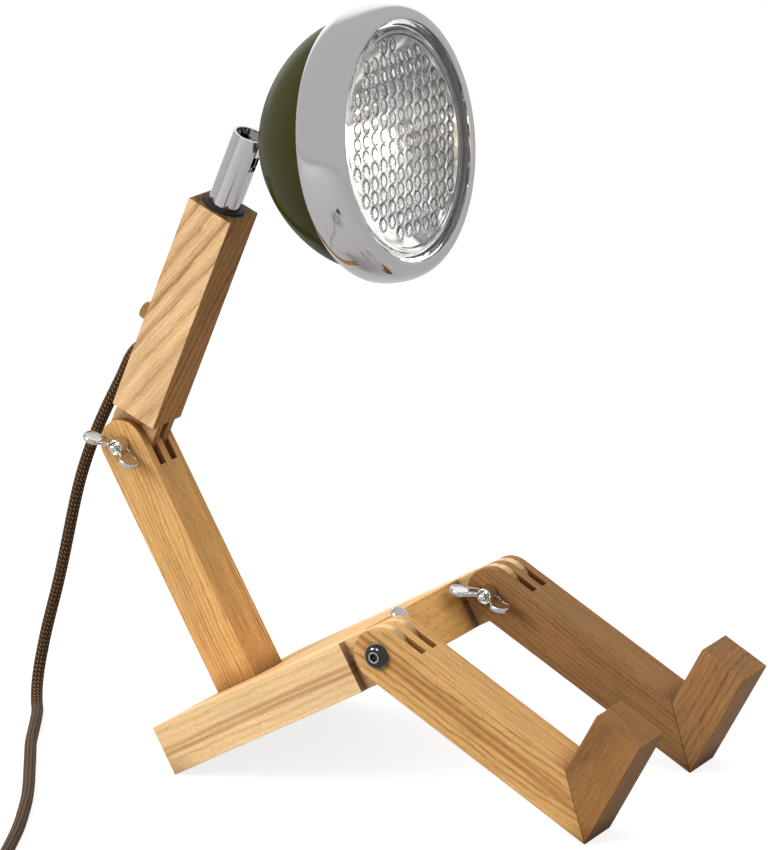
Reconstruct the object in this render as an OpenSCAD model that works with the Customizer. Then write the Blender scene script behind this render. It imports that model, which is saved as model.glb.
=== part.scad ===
// Desk lamp in the shape of a small sitting figure: square wooden blocks hinged
// on bolts with wing nuts, and a round spot lamp for a head. Millimetres.
// The figure faces +X, its right side is towards -Y, and the table is at z = 0.

/* [Blocks] */
// Side of the square section of every limb, and thickness of the seat board
block = 20; // [18:0.5:24]

/* [Seat board] */
// Width of the seat board, from side to side
board_w = 106; // [100:1:130]
// Depth of the seat board, from its back edge to the shoulders of the hips
board_d = 96; // [85:1:120]

/* [Torso] */
// Distance from the board's back edge to the back face of the torso
torso_inset = 3; // [1:0.5:10]
// Height of the neck hinge above the top of the board
torso_h = 103.5; // [85:0.5:125]

/* [Neck] */
// Distance from the neck hinge to the top end of the neck block
neck_len = 107; // [100:1:125]
// Forward bend of the neck from the line of the torso, in degrees
neck_bend = 53; // [35:1:65]

/* [Legs] */
// Distance from the hip hinge to the heel
leg_len = 104; // [80:1:120]
// Length of a foot, from the sole of the heel to the toe
foot_len = 46.5; // [35:0.5:60]
// Angle of the legs below the plane of the board, in degrees
leg_drop = 58; // [50:1:65]

/* [Hinges] */
// Distance from a hinge axis to the shoulder behind it
setback = 13.5; // [13:0.25:16]
// Free gap on each side of a tongue in its slot
side_gap = 0.15; // [0.1:0.05:0.3]
// Diameter of the hinge bolts
bolt_d = 5; // [4:0.5:6]
// Free gap round a bolt, on the radius
bolt_gap = 0.05; // [0.03:0.01:0.1]
// Diameter of a bolt's round head
bolt_head_d = 9.5; // [8:0.5:12]
// Height of a bolt's round head
bolt_head_h = 2.75; // [2:0.25:3.5]
// Width across the flats of the socket in a bolt's head
socket_af = 3; // [2.5:0.5:4]
// Length of bolt that shows past its nut
bolt_tip = 1.4; // [0.8:0.2:3]

/* [Wing nuts] */
// Span of a wing nut from wing tip to wing tip
wing_span = 26; // [22:0.5:26.5]
// Radius of the rounded end of a wing
wing_r = 4.2; // [3:0.1:5]
// Thickness of a wing
wing_t = 2; // [1.5:0.1:3]
// Height of a wing nut's boss
boss_h = 6; // [4:0.5:8]
// Overall height of a wing nut
nut_h = 12; // [10:0.5:14]
// Turn of the right hip nut's wings from the board's forward direction, in degrees
right_wing_turn = 104; // [100:1:180]
// Turn of the left hip nut's wings from the board's forward direction, in degrees
left_wing_turn = 138; // [100:1:180]
// Turn of the wings of the neck nut from level, in degrees
neck_wing_turn = 154; // [120:1:180]

/* [Torso screws] */
// Diameter of the two screws that hold the torso on the board
screw_d = 4; // [3:0.5:5]
// Length of those screws, with their heads
screw_len = 50; // [35:1:70]
// Distance between them, from side to side
screw_spacing = 11; // [10:0.5:12]

/* [Tube] */
// Outer diameter of the steel tube that carries the head
tube_d = 13; // [11:0.5:14]
// Wall of the steel tube
tube_wall = 1; // [0.8:0.1:1.5]
// Length of tube that stands out of the wood
tube_out = 31.5; // [30:0.5:50]
// Length of tube held in the wood
tube_in = 27; // [20:1:40]
// Wall of the bush that the tube turns in
bush_wall = 1; // [0.6:0.1:1.5]
// Free gap between turning round parts, on the radius
turn_gap = 0.05; // [0.03:0.01:0.1]
// Width of the slot in the front of the tube
tube_slot_w = 5; // [4.6:0.1:6]
// Depth of the slot below the tube's rim
tube_slot_h = 13; // [12:0.5:16]
// Thickness of the dark ring at the foot of the tube
foot_ring_h = 1; // [0.6:0.1:2]

/* [Head hinge] */
// Distance from the tube's rim down to the hinge pin
pin_drop = 7; // [6:0.5:9]
// Diameter of the hinge pin
pin_d = 3; // [2:0.5:3.5]
// Tilt of the head above square to the tube, in degrees
head_tilt = 32; // [5:1:60]
// Thickness of the knuckle's tongue
tongue_t = 4; // [3:0.2:4.4]
// Radius of the knuckle's eye
eye_r = 4.5; // [3:0.1:4.8]
// Height of the tongue where it leaves the eye
tongue_h = 6; // [4:0.5:7]
// Distance from the pin to the seat of the head on the knuckle
knuckle_len = 13.6; // [12.6:0.2:20]
// Thickness of the knuckle's disc
disc_t = 1.4; // [1:0.1:2]

/* [Head] */
// Radius of the painted bowl at its open edge
bowl_r = 47.6; // [40:0.2:52]
// Depth of the painted bowl, from its crown to its open edge
bowl_depth = 42; // [34:1:55]
// Wall of the painted bowl
bowl_wall = 1.2; // [0.8:0.1:2]
// Radius of the flat on the crown, where the knuckle sits
crown_r = 6.5; // [5.5:0.5:8]

/* [Bezel] */
// How far the chrome ring's widest place stands out past the bowl's edge
bezel_flare = 4.9; // [3:0.1:10]
// Depth of the chrome ring
bezel_depth = 18.9; // [16:0.1:26]
// Distance from the front of the ring to its widest place
bezel_front = 12.3; // [10:0.1:14]
// Wall of the chrome ring
bezel_wall = 1; // [0.7:0.1:1.4]
// Width of the ring's lip in front of the lens
lip_w = 2; // [1:0.2:3]

/* [Lens and lamp] */
// Thickness of the lens
lens_t = 3; // [2:0.5:4]
// Thickness of the rubber ring behind the lens
gasket_t = 2; // [1:0.5:3]
// Wall of the reflector
mirror_wall = 1; // [0.6:0.1:1.5]
// Radius of the lamp holder
holder_r = 9; // [7:0.5:12]
// Length of the lamp holder
holder_len = 15; // [12:1:17]
// Radius of the lamp's glass
bulb_r = 6.5; // [4:0.5:8]
// Length of the lamp's glass
bulb_len = 26; // [18:1:30]

/* [Switch] */
// Distance from the neck hinge to the push button, along the neck
button_at = 51; // [50:0.5:60]
// Diameter of the push button
button_d = 7.2; // [6:0.2:8]
// Height that the button stands out of the wood
button_h = 6.5; // [5:0.5:8]
// Travel of the button
button_travel = 1.5; // [1:0.1:2]
// Diameter of the switch's barrel in the wood
barrel_d = 8.2; // [7.8:0.1:9]
// Depth of the barrel in the wood
barrel_len = 11; // [8:0.5:11.5]
// Height of the brass collar on the wood
collar_h = 2.2; // [1.6:0.2:3]
// Width of the collar's rim round the button
collar_rim = 1.4; // [1:0.1:2]

/* [Cord] */
// Diameter of the cloth-covered cord
cord_d = 4.8; // [4.4:0.1:5]
// Distance from the neck hinge to the cord's hole, along the neck
cord_at = 39.8; // [36:0.2:40]
// Angle between the cord's hole and the back face of the neck, in degrees
cord_slope = 35; // [30:1:40]
// Wall of the bush in the cord's hole
cord_bush_wall = 0.9; // [0.6:0.1:1.2]
// Length of that bush
cord_bush_len = 4; // [3:0.5:5]
// Diameter of the lead inside the neck and the head
lead_d = 2.6; // [2:0.1:2.8]
// Turns of cord in each layer of the coil
coil_turns = 2; // [1:1:3]
// Layers of cord in the coil
coil_layers = 4; // [2:2:4]
// Distance from one turn of the coil to the next, sideways and upwards
coil_pitch = 5.4; // [5.3:0.1:7]
// Radius of the coil's innermost turn, at the middle of the cord
coil_in_r = 21.6; // [18:0.2:30]

/* [Plug] */
// Width of the plug's body
plug_w = 35.3; // [30:0.1:40]
// Thickness of the plug's body
plug_t = 13.7; // [12:0.1:15]
// Length of the plug's body
plug_len = 34; // [28:1:40]
// Width of the plug's body at its cord end
plug_neck_w = 13; // [12:0.5:18]
// Length of the tapered sleeve on the cord
boot_len = 14; // [10:1:25]
// Diameter of a plug pin
plug_pin_d = 4; // [3.5:0.1:5]
// Length of a plug pin outside the body
plug_pin_len = 19; // [15:0.5:22]
// Distance between the plug pins
plug_pin_spacing = 19; // [17:0.5:22]

/* [Hidden] */
$fn = 64;

// Colours as they look on the lamp
ash = [0.80, 0.62, 0.40];
chrome = [0.75, 0.75, 0.77];
dark_chrome = [0.35, 0.35, 0.37];
olive = [0.26, 0.27, 0.15];
brass = [0.80, 0.62, 0.28];
brown_cloth = [0.28, 0.18, 0.09];
dark_rubber = [0.10, 0.10, 0.10];
black_plastic = [0.13, 0.12, 0.11];

// The hinges: a block's end is cut into five slices. Three stay as ears on one
// block, and two tongues on the other block fill the slots between them.
slices = 5;
slice = block / slices;
hinge_r = block / 2;
far = block * 20;
cut = 0.5;
bolt_hole_r = bolt_d / 2 + bolt_gap;

// Places in the board's own plane: x forward from its back edge, z up from its underside
hip = [board_d + setback, 0, block / 2];
hip_y = board_w / 2 - block / 2;
torso_x = torso_inset + block / 2;
neck_hinge = [torso_x, 0, block + torso_h];

// The board leans back until its back edge and both heels touch the table
heel_sole = hip + turned([leg_len, 0, -block / 2], leg_drop);
lean = atan2(-heel_sole.z, heel_sole.x);
toe = turned(hip + turned([leg_len, 0, foot_len - block / 2], leg_drop), -lean);
neck_spot = turned(neck_hinge, -lean);
wing_reach = max(hinge_r, wing_span / 2 * abs(cos(neck_wing_turn)) + wing_t / 2 * sin(neck_wing_turn));
middle_x = (toe.x + neck_spot.x - wing_reach) / 2;

// Along the neck, counted from its hinge
tube_r = tube_d / 2;
tube_top = neck_len + tube_out;
pin_at = tube_top - pin_drop;
bush_r = tube_r + turn_gap + bush_wall;
channel_r = 4.5;
channel_end = cord_at - 4;

// Along the head's axis, counted from the hinge pin
crown = knuckle_len;
crown_skip = 1.2;
bowl_start = crown - crown_skip;
bowl_edge = bowl_start + bowl_depth;
head_front = bowl_edge + bezel_depth;
bezel_r = bowl_r + bezel_flare;
lip_r = bowl_r - 0.6;
bezel_power = 2.4;
lens_r = lip_r - 0.2;
aperture_r = lip_r - lip_w;
lens_back = head_front - bezel_wall * 1.2 - lens_t;
gasket_back = lens_back - gasket_t;
mirror_rim = gasket_back - mirror_wall;
stud_r = 3;
stud_end = crown + bowl_wall + 6;
holder_start = stud_end + 0.5;
mirror_r = bowl_r - 5;
mirror_neck_r = holder_r + turn_gap;
mirror_neck = holder_start + holder_len - 4;
lead_r = lead_d / 2;

// Cords: the angle at which the cord hangs along the neck, in degrees, the sides of a
// free stretch and of the coil, and the coil's rings per turn
cord_hug = 6.5;
cord_sides = 8;
coil_sides = 6;
coil_rings = 24;
cord_r = cord_d / 2;
coil_out_r = coil_in_r + coil_turns * coil_pitch;
coil_centre = [-33, -234];
coil_start = [coil_centre.x - coil_out_r, coil_centre.y, cord_r];
coil_top = cord_r + (coil_layers - 1) * coil_pitch;

// The cord's route from the neck down to the table and along it to the coil
cord_route = [
    [-122.9, 0, 139.6], [-129, 0, 129.2], [-134.9, 0, 118.4], [-140, 0, 107.5], [-144.6, 0, 96],
    [-148.4, 0, 84], [-151.8, 0, 72], [-155.2, 0, 60], [-158.6, 0, 49], [-161.8, 0, 39.5],
    [-164.6, 0, 31], [-166.7, -0.4, 23], [-167.6, -2.2, 15.4], [-166.6, -5.8, 9],
    [-163.6, -10.9, 4.6], [-159.2, -17, 2.6], [-153.6, -26, 2.4], [-146.5, -38, 2.4],
    [-138.5, -51.5, 2.4], [-129.5, -65, 2.4], [-120.5, -78.5, 2.4], [-111.5, -92, 2.4],
    [-103, -105.5, 2.4], [-95.3, -119, 2.4], [-88, -132.5, 2.4], [-81.5, -146, 2.4],
    [-75.5, -159.5, 2.4], [-71, -173, 2.4], [-67.8, -186.5, 2.4], [-66, -200, 2.4],
    [-65.4, -214, 2.4],
];
// The route from the top of the coil down to the plug, which lies beside it
tail_route = [
    [-65.4, -245, 18.4], [-65, -253, 17], [-62.5, -261.5, 13.4], [-57.5, -269.5, 8.8],
    [-49.5, -276.5, 5], [-39, -281, 3.4], [-28, -283.3, 4.4], [-18, -284, 6.2],
];
plug_at = [-10, -284, plug_t / 2];

// A point turned about the y axis, as rotate([0, a, 0]) turns it
function turned(p, a) = [p.x * cos(a) + p.z * sin(a), p.y, p.z * cos(a) - p.x * sin(a)];

// A smooth step from 0 to 1
function eased(t) = let (s = max(0, min(1, t))) s * s * (3 - 2 * s);

function unit(v) = v / norm(v);

// The direction of a route at each of its points
function directions(p) = [
    for (i = [0:len(p) - 1])
        unit((i == 0 ? p[1] - p[0] : unit(p[i] - p[i - 1]))
            + (i == len(p) - 1 ? p[i] - p[i - 1] : i == 0 ? p[1] - p[0] : unit(p[i + 1] - p[i])))
];

// A side direction at each point, carried along the route without twist
function sideways(t) = [
    for (i = 0, n = unit(cross(t[0], [0.3, 1, 0.2])); i < len(t);
        i = i + 1, n = i < len(t) ? unit(n - (n * t[i]) * t[i]) : n) n
];

// A round tube along a route, as one closed skin of triangles
module tube_along(p, r, sides) {
    t = directions(p);
    n = sideways(t);
    last = (len(p) - 1) * sides;
    skin = [
        for (i = [0:len(p) - 1], k = [0:sides - 1])
            p[i] + r * (cos(k * 360 / sides) * n[i] + sin(k * 360 / sides) * cross(t[i], n[i]))
    ];
    walls = [
        for (i = [0:len(p) - 2], k = [0:sides - 1])
            let (a = i * sides + k, b = i * sides + (k + 1) % sides)
            each [[a, a + sides, b], [b, a + sides, b + sides]]
    ];
    ends = [
        for (k = [1:sides - 2])
            each [[0, k, k + 1], [last, last + k + 1, last + k]]
    ];
    polyhedron(skin, concat(walls, ends), convexity = 10);
}

// The board's own plane, set on the table
module on_board() {
    translate([-middle_x, 0, 0])
        rotate([0, -lean, 0])
            children();
}

// The neck's own frame: z along the neck from its hinge, x to the front
module on_neck() {
    on_board()
        translate(neck_hinge)
            rotate([0, neck_bend, 0])
                children();
}

// The head's own frame: z along the head's axis from the hinge pin
module on_head() {
    on_neck()
        translate([0, 0, pin_at])
            rotate([0, 90 - head_tilt, 0])
                children();
}

// A leg's own frame: x along the leg from its hip hinge. Side is -1 right or 1 left.
module on_leg(side) {
    on_board()
        translate([hip.x, side * hip_y, hip.z])
            rotate([0, leg_drop, 0])
                children();
}

// The back face of the neck at a height: z straight out of the wood, x down the neck
module on_neck_back(height) {
    on_neck()
        translate([-block / 2, 0, height])
            rotate([0, -90, 0])
                rotate([0, 0, 180])
                    children();
}

// A flat finger of a hinge, from the shoulder to its round end, about the y axis
module finger(y, width, back) {
    translate([0, y + width / 2, 0])
        rotate([90, 0, 0])
            linear_extrude(width)
                union() {
                    circle(r = hinge_r);
                    translate([0, -hinge_r])
                        square([back, 2 * hinge_r]);
                }
}

// The three ears of a hinge: its shoulder is at +x
module ears() {
    for (i = [0, 2, 4])
        finger((i - (slices - 1) / 2) * slice, slice, setback + cut);
}

// The two tongues of a hinge: its shoulder is at +x
module tongues() {
    for (i = [1, 3])
        finger((i - (slices - 1) / 2) * slice, slice - 2 * side_gap, setback + cut);
}

// The hole for a hinge bolt, along the y axis
module bolt_hole() {
    rotate([90, 0, 0])
        cylinder(r = bolt_hole_r, h = 2 * block, center = true);
}

// A square block along x, between two distances from its hinge
module limb(from, to) {
    translate([from, -block / 2, -block / 2])
        cube([to - from, block, block]);
}

module pelvis_board() {
    color(ash)
        on_board()
            difference() {
                union() {
                    translate([0, -board_w / 2, 0])
                        cube([board_d, board_w, block]);
                    for (side = [-1, 1])
                        translate([hip.x, side * hip_y, hip.z])
                            rotate([0, 180, 0])
                                tongues();
                }
                for (side = [-1, 1])
                    translate([hip.x, side * hip_y, hip.z])
                        bolt_hole();
                torso_screw_places()
                    screw_shape(screw_len + cut, turn_gap, cut);
            }
}

module torso_block() {
    color(ash)
        on_board()
            difference() {
                translate(neck_hinge)
                    rotate([0, 90, 0])
                        difference() {
                            union() {
                                limb(setback, torso_h);
                                ears();
                            }
                            bolt_hole();
                        }
                torso_screw_places()
                    screw_shape(screw_len + cut, turn_gap, cut);
            }
}

// The two places where a screw goes up through the board into the torso
module torso_screw_places() {
    for (side = [-1, 1])
        translate([torso_x, side * screw_spacing / 2, 0])
            children();
}

// A flat-headed wood screw standing on its head, larger all round by a gap and
// with its head carried on downwards by a tail
module screw_shape(length, gap, tail) {
    rim = 0.3;
    rotate_extrude()
        polygon([
            [0, -tail], [screw_d + gap, -tail], [screw_d + gap, rim],
            [screw_d / 2 + gap, rim + screw_d / 2], [screw_d / 2 + gap, length], [0, length],
        ]);
}

module torso_screws() {
    color(dark_chrome)
        on_board()
            torso_screw_places()
                difference() {
                    screw_shape(screw_len, 0, 0);
                    for (turn = [0, 90])
                        rotate([0, 0, turn])
                            cube([screw_d, screw_d / 5, screw_d / 2], center = true);
                }
}

// A round-headed bolt along -y, with its head's seat at y = seat
module bolt(length) {
    tip = bolt_d / 8;
    rotate([90, 0, 0])
        difference() {
            rotate_extrude()
                polygon(concat(
                    [[0, -bolt_head_h]],
                    [for (a = [0:10:60]) [
                        bolt_head_d / 2 * (0.45 + 0.55 * sin(a * 1.5)),
                        -bolt_head_h + bolt_head_h * 0.85 * (1 - cos(a * 1.5)),
                    ]],
                    [[bolt_head_d / 2, 0], [bolt_d / 2, 0], [bolt_d / 2, length - tip],
                        [bolt_d / 2 - tip, length], [0, length]]
                ));
            translate([0, 0, -bolt_head_h - cut])
                cylinder(d = socket_af / cos(30), h = bolt_head_h * 0.65 + cut, $fn = 6);
        }
}

// A wing nut on a bolt along y: its seat is at y = 0 and it stands out to -y
module wing_nut() {
    rotate([90, 0, 0])
        difference() {
            union() {
                cylinder(r1 = bolt_d * 1.1, r2 = bolt_d * 0.88, h = boss_h);
                for (side = [0, 180])
                    rotate([90, 0, side])
                        linear_extrude(wing_t, center = true)
                            wing_outline();
            }
            translate([0, 0, -cut])
                cylinder(r = bolt_hole_r, h = boss_h + 2 * cut);
        }
}

// One wing, from the boss out to its rounded end, with the nut's height along y
module wing_outline() {
    middle = [wing_span / 2 - wing_r, nut_h - wing_r];
    root = bolt_hole_r + 0.6;
    union() {
        translate(middle)
            circle(r = wing_r);
        polygon([
            [root, boss_h * 0.12],
            [bolt_d, boss_h * 0.12],
            middle + wing_r * [cos(-35), sin(-35)],
            middle,
            middle + wing_r * [cos(125), sin(125)],
            [root, boss_h * 0.95],
        ]);
    }
}

// How far a bolt reaches from its head's seat: through the block and its nut
bolt_len = block + boss_h + bolt_tip;

module neck_bolt() {
    color(dark_chrome)
        on_board()
            translate([neck_hinge.x, block / 2, neck_hinge.z])
                bolt(bolt_len);
}

module neck_wing_nut() {
    color(chrome)
        translate([neck_spot.x - middle_x, -block / 2, neck_spot.z])
            rotate([0, -neck_wing_turn, 0])
                wing_nut();
}

// A leg: three ears at the hip, and the near half of the mitre at the heel
module leg(side) {
    color(ash)
        on_leg(side)
            difference() {
                union() {
                    ears();
                    limb(setback, leg_len);
                }
                bolt_hole();
                mitre(1);
            }
}

// A foot, square to the leg, with the other half of the mitre
module foot(side) {
    color(ash)
        on_leg(side)
            difference() {
                translate([leg_len - block, -block / 2, -block / 2])
                    cube([block, block, foot_len]);
                mitre(-1);
            }
}

// What lies above the heel's 45 degree cut (way 1) or below it (way -1)
module mitre(way) {
    translate([leg_len, 0, -block / 2])
        rotate([0, 45, 0])
            translate([-far / 2, -block, way > 0 ? 0 : -far])
                cube([far, 2 * block, far]);
}

module hip_bolt(side) {
    color(dark_chrome)
        on_leg(side)
            mirror([0, side < 0 ? 1 : 0, 0])
                translate([0, block / 2, 0])
                    bolt(bolt_len);
}

module hip_wing_nut(side) {
    color(chrome)
        on_board()
            translate([hip.x, side * (hip_y - block / 2), hip.z])
                mirror([0, side < 0 ? 1 : 0, 0])
                    rotate([0, side < 0 ? -right_wing_turn : -left_wing_turn, 0])
                        wing_nut();
}

module leg_right() { leg(-1); }
module leg_left() { leg(1); }
module foot_right() { foot(-1); }
module foot_left() { foot(1); }
module hip_bolt_right() { hip_bolt(-1); }
module hip_bolt_left() { hip_bolt(1); }
module hip_wing_nut_right() { hip_wing_nut(-1); }
module hip_wing_nut_left() { hip_wing_nut(1); }

// The cord's hole leaves the back of the neck downwards: z points out along it
module on_cord_hole() {
    on_neck_back(cord_at)
        rotate([0, 90 - cord_slope, 0])
            children();
}

module neck_block() {
    color(ash)
        difference() {
            on_neck()
                difference() {
                    rotate([0, -90, 0])
                        union() {
                            limb(setback, neck_len);
                            tongues();
                        }
                    bolt_hole();
                    translate([0, 0, neck_len - tube_in - 1])
                        cylinder(r = bush_r, h = tube_in + 1 + cut);
                    translate([0, 0, channel_end])
                        cylinder(r = channel_r, h = neck_len - channel_end);
                }
            on_neck_back(button_at)
                translate([0, 0, -barrel_len])
                    cylinder(r = barrel_d / 2 + turn_gap, h = barrel_len + cut);
            on_cord_hole()
                translate([0, 0, -cord_bush_len])
                    cylinder(r = cord_r + turn_gap + cord_bush_wall, h = cord_bush_len + block / 2);
            on_cord_hole()
                translate([0, 0, -cord_bush_len - 8])
                    cylinder(r = cord_r + turn_gap, h = 9);
        }
}

module tube_bush() {
    color(brass)
        on_neck()
            translate([0, 0, neck_len - tube_in - 1])
                difference() {
                    cylinder(r = bush_r, h = tube_in + 1);
                    translate([0, 0, 1])
                        cylinder(r = tube_r + turn_gap, h = tube_in + cut);
                    translate([0, 0, -cut])
                        cylinder(r = tube_r - tube_wall, h = 2);
                }
}

module tube_gasket() {
    color(dark_rubber)
        on_neck()
            translate([0, 0, neck_len])
                difference() {
                    cylinder(r = bush_r + 0.6, h = foot_ring_h);
                    translate([0, 0, -cut])
                        cylinder(r = tube_r + turn_gap, h = foot_ring_h + 2 * cut);
                }
}

module neck_tube() {
    color(chrome)
        on_neck()
            translate([0, 0, neck_len - tube_in])
                difference() {
                    cylinder(r = tube_r, h = tube_in + tube_out);
                    translate([0, 0, -cut])
                        cylinder(r = tube_r - tube_wall, h = tube_in + tube_out + 2 * cut);
                    translate([0, -tube_slot_w / 2, tube_in + tube_out - tube_slot_h])
                        cube([tube_d, tube_slot_w, tube_slot_h + cut]);
                }
}

// The fork that holds the pin inside the tube
fork_r = tube_r - tube_wall - 0.03;
fork_gap = 0.2;
fork_floor = pin_at - eye_r - 0.5;

module hinge_fork() {
    color(dark_chrome)
        on_neck()
            difference() {
                translate([0, 0, fork_floor - 6])
                    cylinder(r = fork_r, h = tube_top - 2 - fork_floor + 6);
                translate([-far / 2, -tongue_t / 2 - fork_gap, fork_floor])
                    cube([far, tongue_t + 2 * fork_gap, far]);
                translate([0, 0, fork_floor - 6 - cut])
                    cylinder(r = lead_r + 0.3, h = 6 + 2 * cut);
                translate([0, 0, pin_at])
                    rotate([90, 0, 0])
                        cylinder(r = pin_d / 2 + 0.02, h = tube_d, center = true);
            }
}

module hinge_pin() {
    color(chrome)
        on_neck()
            translate([0, 0, pin_at])
                rotate([90, 0, 0])
                    cylinder(d = pin_d, h = 2 * fork_r - 1, center = true);
}

// The knuckle: an eye on the pin, a flat tongue, a disc under the bowl and a hollow stud
module head_knuckle() {
    color(chrome)
        on_head()
            difference() {
                union() {
                    rotate([90, 0, 0])
                        cylinder(r = eye_r, h = tongue_t, center = true);
                    translate([-tongue_h / 2, -tongue_t / 2, 0])
                        cube([tongue_h, tongue_t, crown - disc_t / 2]);
                    translate([0, 0, crown - disc_t])
                        cylinder(r = crown_r - 0.5, h = disc_t);
                    translate([0, 0, crown - disc_t / 2])
                        cylinder(r = stud_r, h = stud_end - crown + disc_t / 2);
                }
                rotate([90, 0, 0])
                    cylinder(r = pin_d / 2 + turn_gap, h = 2 * tongue_t, center = true);
                translate([0, 0, crown - 5])
                    cylinder(r = lead_r + turn_gap, h = stud_end);
            }
}

module knuckle_nut() {
    color(dark_chrome)
        on_head()
            translate([0, 0, crown + bowl_wall])
                difference() {
                    cylinder(r = stud_r * 1.9, h = 4, $fn = 6);
                    translate([0, 0, -cut])
                        cylinder(r = stud_r + turn_gap, h = 4 + 2 * cut);
                }
}

// Radius of a round bowl at a distance z along the head, for a crown at z0
function bowl_at(z, z0, r) =
    r * pow(1 - pow(min(1, (bowl_edge - z) / (bowl_edge - z0)), 1.72), 1 / 1.5);

module head_shell() {
    steps = 24;
    inner_crown = bowl_start + bowl_wall;
    seat = crown + bowl_wall;
    outside = [
        for (i = [0:steps])
            let (z = crown + (bowl_edge - crown) * pow(i / steps, 1.6))
            [bowl_at(z, bowl_start, bowl_r), z]
    ];
    inside = [
        for (i = [steps:-1:0])
            let (z = seat + (bowl_edge - seat) * pow(i / steps, 1.6))
            [bowl_at(z, inner_crown, bowl_r - bowl_wall), z]
    ];
    color(olive)
        on_head()
            rotate_extrude($fn = 96)
                polygon(concat(
                    [[stud_r + turn_gap, crown]],
                    outside,
                    [[bowl_r, mirror_rim], [bowl_r - bowl_wall, mirror_rim]],
                    inside,
                    [[stud_r + turn_gap, seat]]
                ));
}

// Radius of the chrome ring's skin at a depth behind its front, drawn in by a wall
function ring_front(depth, wall) =
    let (reach = bezel_front - wall * 1.2, rise = bezel_r - wall - lip_r)
    lip_r + rise * pow(1 - pow((bezel_front - depth) / reach, bezel_power), 1 / bezel_power);
function ring_back(depth, edge, wall) =
    edge + (bezel_r - wall - edge)
        * sqrt(max(0, 1 - pow((depth - bezel_front) / (bezel_depth - bezel_front), 2)));

module bezel_ring() {
    steps = 12;
    out_edge = bowl_r + bezel_wall;
    in_edge = bowl_r + turn_gap;
    lip = bezel_wall * 1.2;
    back = bezel_depth - bezel_front;
    skin = concat(
        [[aperture_r, 0.5], [aperture_r + 0.5, 0]],
        [for (i = [0:steps]) let (d = bezel_front * pow(i / steps, 2)) [ring_front(d, 0), d]],
        [for (i = [1:steps]) let (d = bezel_front + back * sin(i * 90 / steps))
            [ring_back(d, out_edge, 0), d]],
        [for (i = [steps:-1:1]) let (d = bezel_front + back * sin(i * 90 / steps))
            [ring_back(d, in_edge, bezel_wall), d]],
        [for (i = [steps:-1:0]) let (d = lip + (bezel_front - lip) * pow(i / steps, 2))
            [ring_front(d, bezel_wall), d]],
        [[aperture_r, lip]]
    );
    color(chrome)
        on_head()
            rotate_extrude($fn = 96)
                polygon([for (p = skin) [p.x, head_front - p.y]]);
}

module lens_glass() {
    color([0.9, 0.93, 0.95, 0.4])
        on_head()
            translate([0, 0, lens_back])
                cylinder(r = lens_r, h = lens_t, $fn = 96);
}

module lens_gasket() {
    color(dark_rubber)
        on_head()
            translate([0, 0, gasket_back])
                difference() {
                    cylinder(r = bowl_r, h = gasket_t, $fn = 96);
                    translate([0, 0, -cut])
                        cylinder(r = mirror_r + 0.5, h = gasket_t + 2 * cut, $fn = 96);
                }
}

// A bright dish: a parabola from the lamp holder out to a flat rim under the gasket
module reflector() {
    steps = 16;
    depth = mirror_rim - mirror_neck;
    dish = [
        for (i = [0:steps])
            let (r = mirror_neck_r + (mirror_r - mirror_neck_r) * i / steps)
            [r, mirror_neck + depth * (r * r - pow(mirror_neck_r, 2))
                / (mirror_r * mirror_r - pow(mirror_neck_r, 2))]
    ];
    front = [0, mirror_wall];
    color(chrome)
        on_head()
            rotate_extrude($fn = 96)
                polygon(concat(
                    [[mirror_neck_r, mirror_neck - 3], [mirror_neck_r + mirror_wall, mirror_neck - 3]],
                    [for (i = [1:steps]) dish[i]],
                    [[bowl_r, mirror_rim], [bowl_r, gasket_back]],
                    [for (i = [steps:-1:0]) dish[i] + front]
                ));
}

module bulb_holder() {
    color([0.9, 0.9, 0.88])
        on_head()
            translate([0, 0, holder_start])
                difference() {
                    cylinder(r = holder_r, h = holder_len);
                    translate([0, 0, holder_len - 4])
                        cylinder(r = bulb_r - 1, h = 4 + cut);
                }
}

module bulb() {
    neck = 4;
    color([1, 0.95, 0.8])
        on_head()
            translate([0, 0, holder_start + holder_len - neck])
                rotate_extrude()
                    polygon(concat(
                        [[0, 0], [bulb_r - 1.1, 0], [bulb_r - 1.1, neck], [bulb_r, neck + 1]],
                        [for (a = [0:10:90]) [bulb_r * cos(a), neck + bulb_len - bulb_r + bulb_r * sin(a)]]
                    ));
}

module head_lead() {
    color(brown_cloth)
        on_head()
            translate([0, 0, crown - 4.8])
                cylinder(r = lead_r, h = holder_start - crown + 4.8);
}

// The push button: its cap slides in the collar and its stem in the switch
stem_r = 1.5;
cap_low = button_travel + 0.2;

module button_cap() {
    top = 1;
    color(brass)
        on_neck_back(button_at)
            rotate_extrude()
                polygon([
                    [0, -3], [stem_r, -3], [stem_r, cap_low], [button_d / 2, cap_low],
                    [button_d / 2, button_h - top], [button_d / 2 - top * 0.3, button_h - top * 0.3],
                    [button_d / 2 - top, button_h], [0, button_h],
                ]);
}

module button_ring() {
    color(brass)
        on_neck_back(button_at)
            difference() {
                cylinder(r = button_d / 2 + turn_gap + collar_rim, h = collar_h);
                translate([0, 0, -cut])
                    cylinder(r = button_d / 2 + turn_gap, h = collar_h + 2 * cut);
            }
}

module switch_body() {
    color(black_plastic)
        on_neck_back(button_at)
            translate([0, 0, -barrel_len])
                difference() {
                    cylinder(d = barrel_d, h = barrel_len);
                    translate([0, 0, barrel_len - 3 - button_travel - 0.5])
                        cylinder(r = stem_r + turn_gap, h = barrel_len);
                }
}

module cord_bush() {
    color(black_plastic)
        intersection() {
            on_cord_hole()
                translate([0, 0, -cord_bush_len])
                    difference() {
                        cylinder(r = cord_r + turn_gap + cord_bush_wall, h = cord_bush_len + block / 2);
                        translate([0, 0, -cut])
                            cylinder(r = cord_r + turn_gap, h = cord_bush_len + block);
                    }
            on_neck()
                limb_up();
        }
}

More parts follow.
